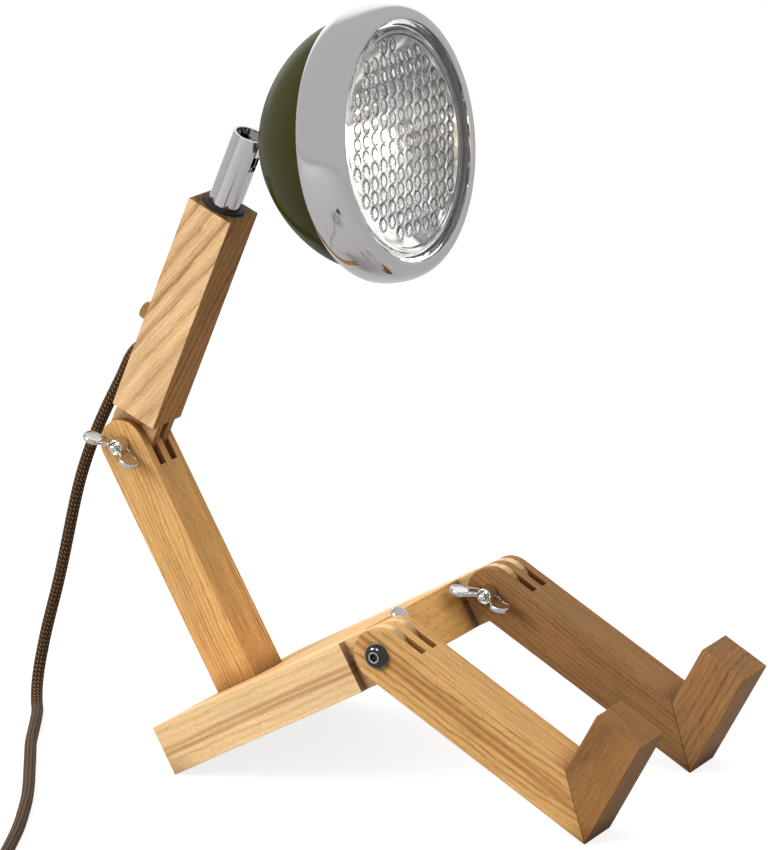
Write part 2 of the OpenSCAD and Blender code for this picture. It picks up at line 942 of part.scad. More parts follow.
// The space of the neck block, from its hinge up
module limb_up() {
    translate([-block / 2, -block / 2, 0])
        cube([block, block, neck_len]);
}

// A point of the neck: how far behind its middle line, and how far along it
function neck_point(back, along) =
    turned(turned([-back, 0, along], neck_bend) + neck_hinge, -lean) - [middle_x, 0, 0];

// The lead inside the neck: in at the cord's hole, round the switch and up into the tube
module inner_lead() {
    slope_in = [-sin(cord_slope), cos(cord_slope)];
    mouth = [block / 2, cord_at];
    below = button_at - barrel_d / 2 - lead_r - 1.4;
    past = -channel_r + lead_r + 0.3;
    bends = [
        mouth,
        mouth + 2 * slope_in,
        mouth + 3.8 * slope_in,
        [block / 2 - 4.6, below - 0.2],
        [block / 2 - 7.4, below + 0.1],
        [-0.6, below + 0.8],
        [past + 0.3, below + 3.2],
        [past, below + 6.4],
        [past, button_at + barrel_d / 2],
        [past / 2, button_at + barrel_d / 2 + 6],
        [0, button_at + barrel_d / 2 + 14],
        [0, neck_len - tube_in],
        [0, neck_len],
        [0, fork_floor - 6.5],
        [0, fork_floor - 1],
    ];
    color(brown_cloth)
        tube_along([for (p = bends) neck_point(p.x, p.y)], lead_r, cord_sides);
}

// The cord, from its hole in the neck to the coil. It leaves straight out of the hole
// and bends down until it hangs nearly along the neck.
module cord() {
    straight = 2.4;
    bend_r = 4 * cord_d;
    bends = 3;
    out = [sin(cord_slope), -cos(cord_slope)];
    mouth = [block / 2, cord_at];
    start = [
        for (i = [0:bends])
            let (a = cord_slope + (cord_hug - cord_slope) * i / bends)
            mouth + straight * out + bend_r * [cos(a) - cos(cord_slope), sin(a) - sin(cord_slope)]
    ];
    color(brown_cloth)
        tube_along(
            concat(
                [for (p = concat([mouth], start)) neck_point(p.x, p.y)],
                cord_route,
                [coil_start + [0, cord_d, 0]]
            ),
            cord_r, cord_sides
        );
}

// A point of the coil after a number of turns: in and out again at a steady rate,
// and up one layer in the half turn where the spiral reverses
function coil_point(turns) =
    let (
        run = turns / coil_turns,
        inward = 1 - abs(1 - (run - 2 * floor(run / 2))),
        r = coil_out_r - (coil_out_r - coil_in_r) * inward,
        half = 0.25 / coil_turns,
        climbs = [for (k = [1:coil_layers - 1]) eased((run - k + half) / (2 * half))],
        up = climbs * [for (k = [1:coil_layers - 1]) 1],
        a = 180 + 360 * turns
    )
    [coil_centre.x + r * cos(a), coil_centre.y + r * sin(a), cord_r + coil_pitch * up];

coil_count = coil_turns * coil_layers * coil_rings;
coil_middle = [for (i = [0:coil_count]) coil_point(i / coil_rings)];
coil_route = concat(
    [coil_middle[0] + [0, cord_d, 0]],
    coil_middle,
    [coil_middle[coil_count] - [0, cord_d, 0]]
);

// The least free gap between one turn and another, measured on the route's points
coil_gap = min([
    for (i = [0:coil_count], j = [i + coil_rings / 2:coil_count])
        norm(coil_middle[i] - coil_middle[j])
]) - cord_d;
echo(coil_gap = coil_gap);

function run_length(p) = [for (i = [1:len(p) - 1]) norm(p[i] - p[i - 1])] * [for (i = [1:len(p) - 1]) 1];
echo(cord_length = run_length(cord_route) + run_length(coil_route) + run_length(tail_route));

module cord_coil() {
    color(brown_cloth)
        tube_along(coil_route, cord_r, coil_sides);
}

module cord_tail() {
    route = concat(
        [coil_route[coil_count + 2]],
        tail_route,
        [plug_at - [cord_d, 0, 0], plug_at]
    );
    color(brown_cloth)
        tube_along(route, cord_r, cord_sides);
}

// The plug lies flat beside the coil, its pins to +x
module plug_body() {
    corner = 3;
    back = boot_len;
    front = boot_len + plug_len;
    color(black_plastic)
        translate(plug_at)
            difference() {
                union() {
                    intersection() {
                        translate([0, 0, -plug_t / 2])
                            linear_extrude(plug_t)
                                polygon([
                                    [back, -plug_neck_w / 2], [front - plug_len / 2, -plug_w / 2],
                                    [front - corner, -plug_w / 2], [front, -plug_w / 2 + corner],
                                    [front, plug_w / 2 - corner], [front - corner, plug_w / 2],
                                    [front - plug_len / 2, plug_w / 2], [back, plug_neck_w / 2],
                                ]);
                        rotate([0, 90, 0])
                            linear_extrude(far)
                                polygon([
                                    [-plug_t / 2, -plug_w / 2 + corner], [-plug_t / 2 + corner, -plug_w / 2],
                                    [plug_t / 2 - corner, -plug_w / 2], [plug_t / 2, -plug_w / 2 + corner],
                                    [plug_t / 2, plug_w / 2 - corner], [plug_t / 2 - corner, plug_w / 2],
                                    [-plug_t / 2 + corner, plug_w / 2], [-plug_t / 2, plug_w / 2 - corner],
                                ]);
                    }
                    rotate([0, 90, 0])
                        cylinder(r1 = cord_r + 0.8, r2 = plug_t / 2 - 1.5, h = back + 1);
                }
                plug_pin_places()
                    translate([-plug_pin_len / 2, 0, 0])
                        rotate([0, 90, 0])
                            cylinder(r = plug_root_r + 0.02, h = plug_pin_len);
            }
}

// A pin is a little thinner where it is held in the plug's body
plug_root_r = plug_pin_d / 2 - 0.2;

// The two places where a pin leaves the plug's front face
module plug_pin_places() {
    for (side = [-1, 1])
        translate([boot_len + plug_len, side * plug_pin_spacing / 2, 0])
            children();
}

module plug_pins() {
    tip = 1;
    root = plug_pin_len / 2;
    color(chrome)
        translate(plug_at)
            plug_pin_places()
                rotate([0, 90, 0])
                    rotate_extrude()
                        polygon([
                            [0, -root], [plug_root_r, -root], [plug_root_r, 0], [plug_pin_d / 2, 0],
                            [plug_pin_d / 2, plug_pin_len - tip],
                            [plug_pin_d / 2 - tip, plug_pin_len], [0, plug_pin_len],
                        ]);
}

pelvis_board();
torso_block();
torso_screws();
neck_bolt();
neck_wing_nut();
leg_right();
foot_right();
hip_bolt_right();
hip_wing_nut_right();
leg_left();
foot_left();
hip_bolt_left();
hip_wing_nut_left();
neck_block();
tube_bush();
tube_gasket();
neck_tube();
hinge_fork();
hinge_pin();
head_knuckle();
knuckle_nut();
head_shell();
bezel_ring();
lens_glass();
lens_gasket();
reflector();
bulb_holder();
bulb();
head_lead();
button_cap();
button_ring();
switch_body();
cord_bush();
inner_lead();
cord();
cord_coil();
cord_tail();
plug_body();
plug_pins();
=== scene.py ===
# %% [markdown]
# A desk lamp in the shape of a small seated robot, made of ash wood. The CAD
# model is loaded first and stays as it is. This script gives it its looks:
# each cell says what a piece is on the real lamp, how it could be made, and
# why it is made this way. Lengths are metres, in the CAD model's own frame:
# x runs to the lamp's front, y to its left and z up.

import math

import bmesh
import bpy
import numpy as np
from mathutils import Matrix, Vector


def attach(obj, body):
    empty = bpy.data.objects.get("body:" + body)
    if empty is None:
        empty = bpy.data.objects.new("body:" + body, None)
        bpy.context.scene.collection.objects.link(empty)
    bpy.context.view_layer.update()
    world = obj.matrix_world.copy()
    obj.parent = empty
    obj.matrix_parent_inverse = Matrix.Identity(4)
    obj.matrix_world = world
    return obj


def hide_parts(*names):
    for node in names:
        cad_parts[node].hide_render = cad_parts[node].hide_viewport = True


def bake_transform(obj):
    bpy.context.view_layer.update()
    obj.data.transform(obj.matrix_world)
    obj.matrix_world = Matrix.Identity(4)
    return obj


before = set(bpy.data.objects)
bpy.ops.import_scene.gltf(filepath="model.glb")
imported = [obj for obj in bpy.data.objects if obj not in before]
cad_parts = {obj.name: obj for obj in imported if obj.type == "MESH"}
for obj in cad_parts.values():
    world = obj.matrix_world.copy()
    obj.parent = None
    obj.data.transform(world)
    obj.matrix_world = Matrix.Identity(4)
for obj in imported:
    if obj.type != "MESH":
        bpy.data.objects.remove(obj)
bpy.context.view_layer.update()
MM = 0.001

# %% [markdown]
# The camera comes first, because it fixes what the picture shows. The place
# and the direction were worked out by fitting a pinhole camera to the corners
# of the wooden blocks, so they are written down as three unit vectors. A
# rotation matrix takes such vectors directly, which is safer than angles.

# %% Camera
camera_data = bpy.data.cameras.new("photo_camera")
camera_data.sensor_fit = "HORIZONTAL"
camera_data.sensor_width, camera_data.lens = 36, 206.31
camera_data.clip_start, camera_data.clip_end = 0.05, 50
camera = bpy.data.objects.new("photo_camera", camera_data)
bpy.context.collection.objects.link(camera)
right = Vector((0.86378613, 0.50302317, -0.02900366))
up = Vector((-0.10513806, 0.2362397, 0.96599006))
back = Vector((0.4927672, -0.83135942, 0.25694746))
turned_to = Matrix((right, up, back)).transposed().to_4x4()
camera.matrix_world = Matrix.Translation((0.815387, -1.382940, 0.560403)) @ turned_to
bpy.context.scene.camera = camera

# %% [markdown]
# Every new piece is a surface worked out with numpy. One helper takes a grid
# of points, row by row, and makes the faces between them. Each row closes on
# itself, as round a tube. The last row may join the first, as round a ring,
# or both may be closed by a fan to one middle point.


# %% Helper: a grid of points becomes a mesh
def grid_faces(rows, cols, close_rows=False):
    """Four-sided faces between neighbours of a grid that closes along each row. Point (i, j)
    has number i * cols + j."""
    i = np.arange(rows if close_rows else rows - 1)[:, None]
    j = np.arange(cols)[None, :]
    a = i * cols + j
    b = i * cols + (j + 1) % cols
    c = ((i + 1) % rows) * cols + (j + 1) % cols
    d = ((i + 1) % rows) * cols + j
    return np.stack(np.broadcast_arrays(a, b, c, d), -1).reshape(-1, 4).tolist()


def capped_faces(rows, cols):
    """The same, with a fan at both ends, to two middle points that follow the grid's own."""
    n = rows * cols
    first = [(n, (k + 1) % cols, k) for k in range(cols)]
    last = [(n + 1, n - cols + k, n - cols + (k + 1) % cols) for k in range(cols)]
    return grid_faces(rows, cols) + first + last


def outwards(points, faces):
    """The faces of a closed shape. They are all turned round if its volume, the sum of the
    faces' pyramids to the origin, is negative."""
    faces = [list(f) for f in faces]
    fans = [(f[0], f[k], f[k + 1]) for f in faces for k in range(1, len(f) - 1)]
    a, b, c = (points[np.array(fans)[:, k]] for k in range(3))
    return [f[::-1] for f in faces] if np.einsum("ij,ij->", a, np.cross(b, c)) < 0 else faces


def new_piece(name, points, faces, sharp=35):
    """A mesh object at the origin, its place in its mesh, from points in metres. Faces point
    outwards, and edges sharper than an angle stay sharp."""
    points = np.asarray(points, float).reshape(-1, 3)
    faces = outwards(points, faces)
    mesh = bpy.data.meshes.new(name)
    mesh.from_pydata(points.tolist(), [], faces)
    mesh.update()
    mesh.shade_smooth()
    mesh.set_sharp_from_angle(angle=math.radians(sharp))
    piece = bpy.data.objects.new(name, mesh)
    bpy.context.collection.objects.link(piece)
    return piece


# %% [markdown]
# The cord is a cloth-covered lead, 4.8 mm thick. It leaves the neck through a
# hole, hangs down behind the lamp and runs along the table to a neat coil
# with a plug. Its route repeats the CAD model's points: a bend out of the
# slanted hole, the stretch that hangs and lies, a spiral of four layers and
# the way to the plug.

# %% Cord: the route
NECK_HINGE = np.array([-117.431, 0, 115.036])
NECK_UP = np.array([0.42045, 0, 0.90732])
NECK_BACK = np.array([-0.90732, 0, 0.42045])
CORD_D = 4.8
HOLE_SLOPE, HOLE_UP, NECK_HALF, BEND_R = math.radians(35), 39.8, 10, 19.2


def neck_point(back_by, along_by):
    """A point of the neck: its hinge, plus a way along the neck, plus a way out of its back."""
    return NECK_HINGE + along_by * NECK_UP + back_by * NECK_BACK


leaving = [neck_point(NECK_HALF, HOLE_UP)] + [
    neck_point(
        NECK_HALF + CORD_D / 2 * math.sin(HOLE_SLOPE) + BEND_R * (math.cos(a) - math.cos(HOLE_SLOPE)),
        HOLE_UP - CORD_D / 2 * math.cos(HOLE_SLOPE) + BEND_R * (math.sin(a) - math.sin(HOLE_SLOPE)))
    for a in np.radians([35, 25.5, 16, 6.5])
]
hanging = [
    [-122.9, 0, 139.6], [-129, 0, 129.2], [-134.9, 0, 118.4], [-140, 0, 107.5],
    [-144.6, 0, 96], [-148.4, 0, 84], [-151.8, 0, 72], [-155.2, 0, 60],
    [-158.6, 0, 49], [-161.8, 0, 39.5], [-164.6, 0, 31], [-166.7, -0.4, 23],
    [-167.6, -2.2, 15.4], [-166.6, -5.8, 9], [-163.6, -10.9, 4.6], [-159.2, -17, 2.6],
    [-153.6, -26, 2.4], [-146.5, -38, 2.4], [-138.5, -51.5, 2.4], [-129.5, -65, 2.4],
    [-120.5, -78.5, 2.4], [-111.5, -92, 2.4], [-103, -105.5, 2.4], [-95.3, -119, 2.4],
    [-88, -132.5, 2.4], [-81.5, -146, 2.4], [-75.5, -159.5, 2.4], [-71, -173, 2.4],
    [-67.8, -186.5, 2.4], [-66, -200, 2.4], [-65.4, -214, 2.4], [-65.4, -229.2, 2.4],
]
tail = [
    [-65.4, -238.8, 18.6], [-65.4, -245, 18.4], [-65, -253, 17], [-62.5, -261.5, 13.4],
    [-57.5, -269.5, 8.8], [-49.5, -276.5, 5], [-39, -281, 3.4], [-28, -283.3, 4.4],
    [-18, -284, 6.2], [-14.8, -284, 6.85], [-10, -284, 6.85],
]
COIL_TURNS, COIL_LAYERS, COIL_PITCH, COIL_INNER = 2, 4, 5.4, 21.6
COIL_MIDDLE = np.array([-33, -234])


def eased(t):
    """Rises smoothly from 0 to 1: three t squared less two t cubed."""
    t = np.clip(t, 0, 1)
    return t * t * (3 - 2 * t)


def coil(turns):
    """A flat spiral: its radius goes in and out again like a zigzag of the turns,
    and its height climbs one cord's pitch, eased, where the zigzag turns back."""
    run = turns / COIL_TURNS
    inward = 1 - np.abs(1 - (run - 2 * np.floor(run / 2)))
    radius = COIL_INNER + COIL_TURNS * COIL_PITCH * (1 - inward)
    half = 0.25 / COIL_TURNS
    up_by = sum(eased((run - k + half) / (2 * half)) for k in range(1, COIL_LAYERS))
    angle = math.pi + 2 * math.pi * turns
    return np.stack(
        [COIL_MIDDLE[0] + radius * np.cos(angle), COIL_MIDDLE[1] + radius * np.sin(angle),
         CORD_D / 2 + COIL_PITCH * up_by], -1)


coiled = coil(np.linspace(0, COIL_TURNS * COIL_LAYERS, COIL_TURNS * COIL_LAYERS * 36 + 1))
route = np.array(leaving + hanging + coiled.tolist() + tail)
print("route points", len(route))

# %% [markdown]
# A smooth curve goes through the route's points, and a circle is carried
# along it. A Curve object with a bevel would be quicker, but the mesh needs a
# map along and round the cord for its braid, and a frame that never spins:
# each step turns the last one as little as possible, so nothing twists.


# %% Cord: the tube
def smooth_path(points, step):
    """Catmull-Rom: between two points a cubic whose ends run along the line between their
    neighbours. Then evenly spaced again by length."""
    p = np.vstack([2 * points[0] - points[1], points, 2 * points[-1] - points[-2]])
    knots = np.concatenate([[0], np.cumsum(np.sqrt(np.linalg.norm(np.diff(p, axis=0), axis=1)))])
    t = np.linspace(knots[1], knots[-2], 40 * len(points))
    k = np.clip(np.searchsorted(knots, t, side="right") - 1, 1, len(p) - 3)

    def mix(a, b, ta, tb):
        return a * ((tb - t) / (tb - ta))[:, None] + b * ((t - ta) / (tb - ta))[:, None]

    t0, t1, t2, t3 = (knots[k + n] for n in (-1, 0, 1, 2))
    a1, a2 = mix(p[k - 1], p[k], t0, t1), mix(p[k], p[k + 1], t1, t2)
    a3 = mix(p[k + 1], p[k + 2], t2, t3)
    fine = mix(mix(a1, a2, t0, t2), mix(a2, a3, t1, t3), t1, t2)
    run = np.concatenate([[0], np.cumsum(np.linalg.norm(np.diff(fine, axis=0), axis=1))])
    even = np.linspace(0, run[-1], int(run[-1] / step) + 1)
    return np.stack([np.interp(even, run, fine[:, c]) for c in range(3)], -1), run[-1]


def steady_frames(path):
    """Two unit vectors square to the path at each point. Each pair is the last one, turned by
    the least that keeps it square."""
    ahead = np.gradient(path, axis=0)
    ahead /= np.linalg.norm(ahead, axis=1)[:, None]
    side = np.zeros_like(path)
    last = np.cross(ahead[0], [0, 1, 0.01])
    for n, way in enumerate(ahead):
        last = last - way * np.dot(last, way)
        last /= np.linalg.norm(last)
        side[n] = last
    return side, np.cross(ahead, side)


def tube(name, path, radius, sides=16):
    """The path, plus the radius times a circle in the two square directions. Its UV map runs
    along the tube in metres and once round it."""
    side, other = steady_frames(path)
    turn = 2 * np.pi * np.arange(sides) / sides
    ring = np.cos(turn)[None, :, None] * side[:, None] + np.sin(turn)[None, :, None] * other[:, None]
    points = path[:, None] + radius * ring
    n = len(path)
    piece = new_piece(name, np.vstack([points.reshape(-1, 3), path[:1], path[-1:]]), capped_faces(n, sides))
    corner = np.zeros(len(piece.data.loops), np.int32)
    piece.data.loops.foreach_get("vertex_index", corner)
    run = np.concatenate([[0], np.cumsum(np.linalg.norm(np.diff(path, axis=0), axis=1))])
    u = np.concatenate([np.repeat(run, sides), [run[0], run[-1]]])[corner]
    v = np.concatenate([np.tile(np.arange(sides) / sides, n), [0.5, 0.5]])[corner].reshape(-1)
    starts = np.zeros(len(piece.data.polygons), np.int32)
    piece.data.polygons.foreach_get("loop_start", starts)
    face_of = np.repeat(np.arange(len(starts)), np.diff(np.append(starts, len(corner))))
    top = np.maximum.reduceat(v, starts)[face_of]
    v = np.where(top - v > 0.5, v + 1, v)
    piece.data.uv_layers.new(name="along_and_round").data.foreach_set("uv", np.stack([u, v], -1).ravel())
    return piece


path, cord_length = smooth_path(route, 1.5)
cord = tube("cloth_cord", path * MM, CORD_D / 2 * MM)
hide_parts("cord", "cord_coil", "cord_tail")
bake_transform(cord)
print("cord length", round(cord_length, 1), "mm")

# %% [markdown]
# The head is turned work: spun steel for the bowl and the ring, moulded glass
# for the lens. Each is a profile drawn as (distance along the head, radius)
# and carried once round the head's axis. A lathe does the same. The Screw
# modifier could too, but a formula gives clean poles and exact seams.

# %% Helper: a turned piece
HEAD_PIN = np.array([-62.142, 0, 234.348])
HEAD_AXIS = np.array([0.99225, 0, 0.12424])


def eased_corners(line, by=0.3, steps=3):
    """Each corner of an open line becomes a short curve, (1-t)^2 near + 2t(1-t) corner +
    t^2 far, where near and far lie a short way along both its sides."""
    line = np.array(line, float)
    out = [line[:1]]
    t = np.linspace(0, 1, steps + 1)[:, None]
    for before, corner, after in zip(line[:-2], line[1:-1], line[2:]):
        back, on = before - corner, after - corner
        room = min(np.linalg.norm(back), np.linalg.norm(on)) * 0.45
        near = corner + back / np.linalg.norm(back) * min(by, room)
        far = corner + on / np.linalg.norm(on) * min(by, room)
        out.append((1 - t) ** 2 * near + 2 * t * (1 - t) * corner + t * t * far)
    return np.vstack(out + [line[-1:]])


def turned_shell(profile, start=HEAD_PIN, axis=HEAD_AXIS, sides=128, rise=None):
    """start + along * axis + radius * (cos a, sin a) in the two directions square to the axis.
    A profile that ends on the axis gets a pole there, and any other is closed on itself. rise
    adds a height along the axis, worked out from the place across it. A third number in a
    profile's row, from 0 to 1, makes that row six-sided: its radius is divided by the cosine
    of the angle to the nearest flat."""
    profile = np.array(profile, float)
    axis = np.array(axis) / np.linalg.norm(axis)
    across = np.cross(axis, [0, 0, 1]) if abs(axis[2]) < 0.9 else np.array([0, 1.0, 0])
    across /= np.linalg.norm(across)
    other = np.cross(axis, across)
    poles = profile[0, 1] < 1e-6 and profile[-1, 1] < 1e-6
    rows = profile[1:-1] if poles else profile
    turn = 2 * np.pi * np.arange(sides) / sides
    reach = rows[:, 1:2] * np.ones(sides)
    if rows.shape[1] > 2:
        to_flat = (turn + np.pi / 6) % (np.pi / 3) - np.pi / 6
        reach = reach * (1 + rows[:, 2:3] * (1 / np.cos(to_flat) - 1))
    u, v = reach * np.cos(turn), reach * np.sin(turn)
    t = np.broadcast_to(rows[:, :1], u.shape)
    t = t + rise(u, v, t) if rise else t
    points = (start + t[..., None] * axis + u[..., None] * across + v[..., None] * other).reshape(-1, 3)
    if not poles:
        return points * MM, grid_faces(len(rows), sides, close_rows=True)
    ends = profile[[0, -1], 0]
    if rise:
        ends = ends + rise(np.zeros(2), np.zeros(2), ends)
    return np.vstack([points, start + ends[:, None] * axis]) * MM, capped_faces(len(rows), sides)


def turned(name, profile, sharp=35, **how):
    """One turned shell as a piece."""
    return new_piece(name, *turned_shell(profile, **how), sharp)


def joined(name, shells, sharp=35):
    """Several closed shells as one piece, each turned outwards by itself."""
    first = np.cumsum([0] + [len(p) for p, _ in shells])
    faces = [[i + n for i in f] for n, (p, fs) in zip(first, shells) for f in outwards(p, fs)]
    return new_piece(name, np.vstack([p for p, _ in shells]), faces, sharp)


print("head axis leans up", round(math.degrees(math.atan2(HEAD_AXIS[2], HEAD_AXIS[0])), 2), "degrees")

# %% [markdown]
# The bowl is a deep curve between a sphere and a cone, flat at its crown. A
# superellipse gives it: with z the way back from the rim as a share of the
# depth, the radius is R (1 - z^1.72)^(1/1.5). Its wall has a rolled edge that
# the chrome ring hides.

# %% Head: the painted bowl
BOWL_R, BOWL_CROWN, BOWL_EDGE, BOWL_WALL, HOLE_R, MIRROR_RIM = 47.6, 12.4, 54.4, 1.2, 3.15, 66.1
HOLE_AT = BOWL_CROWN + BOWL_WALL


def bowl_radius(along, crown, radius):
    """The superellipse of the bowl, from its crown on the axis to its rim."""
    z = np.clip((BOWL_EDGE - along) / (BOWL_EDGE - crown), 0, 1)
    return radius * (1 - z ** 1.72) ** (1 / 1.5)


share = np.linspace(0, 1, 49) ** 1.6
outside = HOLE_AT + (BOWL_EDGE - HOLE_AT) * share
inside = outside[::-1] + BOWL_WALL * (1 - share[::-1])
bowl = turned("head_bowl", np.vstack([
    [[HOLE_AT, HOLE_R]],
    np.stack([outside, bowl_radius(outside, BOWL_CROWN, BOWL_R)], -1),
    [[MIRROR_RIM, BOWL_R], [MIRROR_RIM, BOWL_R - BOWL_WALL]],
    np.stack([inside, bowl_radius(inside, HOLE_AT, BOWL_R - BOWL_WALL)], -1),
    [[HOLE_AT + BOWL_WALL, HOLE_R]],
]), sides=160)
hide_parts("head_shell")
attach(bowl, "head")
print("bowl", len(bowl.data.vertices), "points")

# %% [markdown]
# The ring is drawn chrome: a flat lip in front of the lens, a quarter curve
# out to its widest place, then a second curve back to the bowl. The picture
# shows a soft step between lip and curve, which catches a line of light.

# %% Head: the chrome ring
FRONT, RING_FRONT, RING_DEPTH, RING_R, LIP_R = 73.3, 12.3, 18.9, 52.5, 47.0
LIP_W, LIP_T, RING_POWER, EDGE_OUT, EDGE_IN = 2.0, 1.2, 2.4, 48.6, 47.75


def ring_skin(wall, edge):
    """Radius over depth: a superellipse (power 2.4) in front of the widest place and an ellipse
    behind it, both drawn in by the wall."""
    reach = RING_FRONT - LIP_T * wall
    d1 = LIP_T * wall + reach * np.linspace(0, 1, 25) ** 2
    r1 = LIP_R + (RING_R - wall - LIP_R) * (1 - ((RING_FRONT - d1) / reach) ** RING_POWER) ** (1 / RING_POWER)
    turn = np.linspace(0, np.pi / 2, 17)[1:]
    d2 = RING_FRONT + (RING_DEPTH - RING_FRONT) * np.sin(turn)
    r2 = edge + (RING_R - wall - edge) * np.cos(turn)
    return np.stack([np.concatenate([d1, d2]), np.concatenate([r1, r2])], -1)


skin = np.vstack([
    eased_corners([[LIP_T, LIP_R - LIP_W], [0, LIP_R - LIP_W], [0, LIP_R]], 0.45, 4),
    ring_skin(0, EDGE_OUT), ring_skin(1, EDGE_IN)[::-1], [[LIP_T, LIP_R - LIP_W]],
])
skin[:, 0] = FRONT - skin[:, 0]
ring = turned("head_ring", skin[:-1], sides=192)
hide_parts("bezel_ring")
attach(ring, "head")
print("ring reaches", skin[:, 1].max(), "mm out")

# %% [markdown]
# The lens is clear pressed glass with rows of round bubbles on its inner
# side, a plain edge and two faint steps near the rim. A bump map would only
# shade like bubbles. Real domes bend the light, so each one shows its own
# small picture of the lamp, and that is what the eye knows the glass by. The
# domes are one height formula over the disc, not hundreds of pieces. Each
# point also keeps how near it is to a dome's foot, for the glass to use.

# %% Head: the lens
LENS_R, LENS_BACK, LENS_FRONT = 46.8, 69.1, 72.1
BUBBLE_STEP, ROW_SHIFT, ROW_STEP, FIRST_Y, FIRST_Z = 6.23, -1.42, -5.26, 0.17, 36.04
BUBBLE_R, BUBBLE_H, FIELD_R, FIELD_SHIFT, NO_BUBBLE = 2.62, 1.0, 36.6, 0.6, 9.0
FOOT_AT, FOOT_W = 0.96, 0.16


def nearest_bubble(y, z):
    """How far a place on the lens is from the nearest bubble's middle, as a share of the
    bubble's radius. The rows above and below the place are tried, and the nearest of each."""
    down = np.floor((z - FIRST_Z) / ROW_STEP)
    best = np.full_like(y, NO_BUBBLE)
    for row in (down, down + 1):
        row_y = FIRST_Y + row * ROW_SHIFT
        cy = row_y + np.round((y - row_y) / BUBBLE_STEP) * BUBBLE_STEP
        cz = FIRST_Z + row * ROW_STEP
        far = np.hypot(y - cy, z - cz) / BUBBLE_R
        best = np.minimum(best, np.where(np.hypot(cy + FIELD_SHIFT, cz) < FIELD_R, far, NO_BUBBLE))
    return best


def bubbles(y, z):
    """Height of the domes at a place on the lens: with d the share above, (1 - d^2)^0.7, steep at its foot."""
    return BUBBLE_H * np.clip(1 - nearest_bubble(y, z) ** 2, 0, 1) ** 0.7


def lens_relief(u, v, t):
    """The front is a faint dome, 0.6 (1 - r^2 / R^2). The back carries the bubbles and two low
    steps near the rim."""
    r = np.hypot(u, v)
    front = 0.6 * (1 - (r / LENS_R) ** 2) * (t > LENS_FRONT - 0.01)
    steps = 0.35 * (eased((r - 39.3) / 0.5) - eased((r - 41.2) / 0.5) + eased((r - 42.6) / 0.5))
    back = -(bubbles(-u, -v) + steps * (r < 45)) * (t < LENS_BACK + 0.01)
    return front + back


lens_rows = np.vstack([
    [[LENS_FRONT, 0]],
    np.stack([np.full(10, LENS_FRONT), np.linspace(4.6, 46.3, 10)], -1),
    [[LENS_FRONT - 0.5, LENS_R], [LENS_BACK + 0.5, LENS_R]],
    np.stack([np.full(22, LENS_BACK), np.linspace(46.3, 38.6, 22)], -1),
    np.stack([np.full(130, LENS_BACK), np.linspace(38.3, 0.3, 130)], -1),
    [[LENS_BACK, 0]],
])
lens = turned("head_lens", lens_rows, sides=512, sharp=80, rise=lens_relief)
places = np.zeros(len(lens.data.vertices) * 3)
lens.data.vertices.foreach_get("co", places)
offsets = places.reshape(-1, 3) / MM - HEAD_PIN
lens_across = np.cross(HEAD_AXIS, [0, 0, 1])
lens_across /= np.linalg.norm(lens_across)
ring_share = nearest_bubble(-offsets @ lens_across, -offsets @ np.cross(HEAD_AXIS, lens_across))
foot_line = np.exp(-((ring_share - FOOT_AT) / FOOT_W) ** 2) * (offsets @ HEAD_AXIS < LENS_FRONT - 0.6)
lens.data.attributes.new("bubble_foot", "FLOAT", "POINT").data.foreach_set("value", foot_line)
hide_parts("lens_glass")
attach(lens, "head")
print("lens", len(lens.data.polygons), "faces")

# %% [markdown]
# Behind the glass sits a bright pressed reflector, a parabola, with the lamp
# in its middle. Its height grows with the square of its radius.

# %% Head: reflector, rubber ring, lamp and holder
NECK_R, DISH_R, RIM_R, DISH_FROM, NECK_END = 9.05, 42.6, 47.5, 32.3, 29.3
dish_r = np.linspace(NECK_R, DISH_R, 41)
dish_t = DISH_FROM + (MIRROR_RIM - DISH_FROM) * (dish_r ** 2 - NECK_R ** 2) / (DISH_R ** 2 - NECK_R ** 2)
dish = turned("head_reflector", np.vstack([
    [[NECK_END, NECK_R], [NECK_END, NECK_R + 1]],
    np.stack([dish_t[1:], dish_r[1:]], -1),
    [[MIRROR_RIM, RIM_R], [MIRROR_RIM + 1, RIM_R]],
    np.stack([dish_t[::-1] + 1, dish_r[::-1]], -1),
]), sides=160)
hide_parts("reflector")
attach(dish, "head")

rubber_ring = turned("head_rubber", eased_corners([
    [67.15, 46.4], [67.15, 47.55], [69.05, 47.55], [69.05, 45.3], [67.15, 45.3], [67.15, 46.4]], 0.4)[:-1])
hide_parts("lens_gasket")
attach(rubber_ring, "head")

holder = turned("lamp_holder", eased_corners([
    [21.3, 0], [21.3, 8.97], [35.2, 8.97], [35.2, 8.4],
    [36.3, 8.4], [36.3, 5.55], [32.35, 5.55], [32.35, 0]]), sides=96)
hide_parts("bulb_holder")
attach(holder, "head")

BULB_R = 6.5
dome = np.linspace(0, np.pi / 2, 17)
bulb = turned("lamp_bulb", np.vstack([
    eased_corners([[32.4, 0], [32.4, 5.4], [36.3, 5.4], [37.5, BULB_R], [45, BULB_R]], 0.4),
    np.stack([55.8 + BULB_R * np.sin(dome), BULB_R * np.cos(dome)], -1),
]), sides=96)
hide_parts("bulb")
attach(bulb, "head")
print("inside of the head: dish, ring, holder, bulb")

# %% [markdown]
# The wooden blocks are sawn square and their edges just broken with paper.
# The CAD model has the exact blocks, with their fingers and bolt holes, so a
# copy of each is used: its loose triangles are merged, its flat faces joined,
# and a narrow Bevel rounds the edges. The bevel is what stops wood from
# looking like card, because every edge then carries its own thin highlight.


# %% Wood: blocks with broken edges
EDGE_W = 0.35 * MM


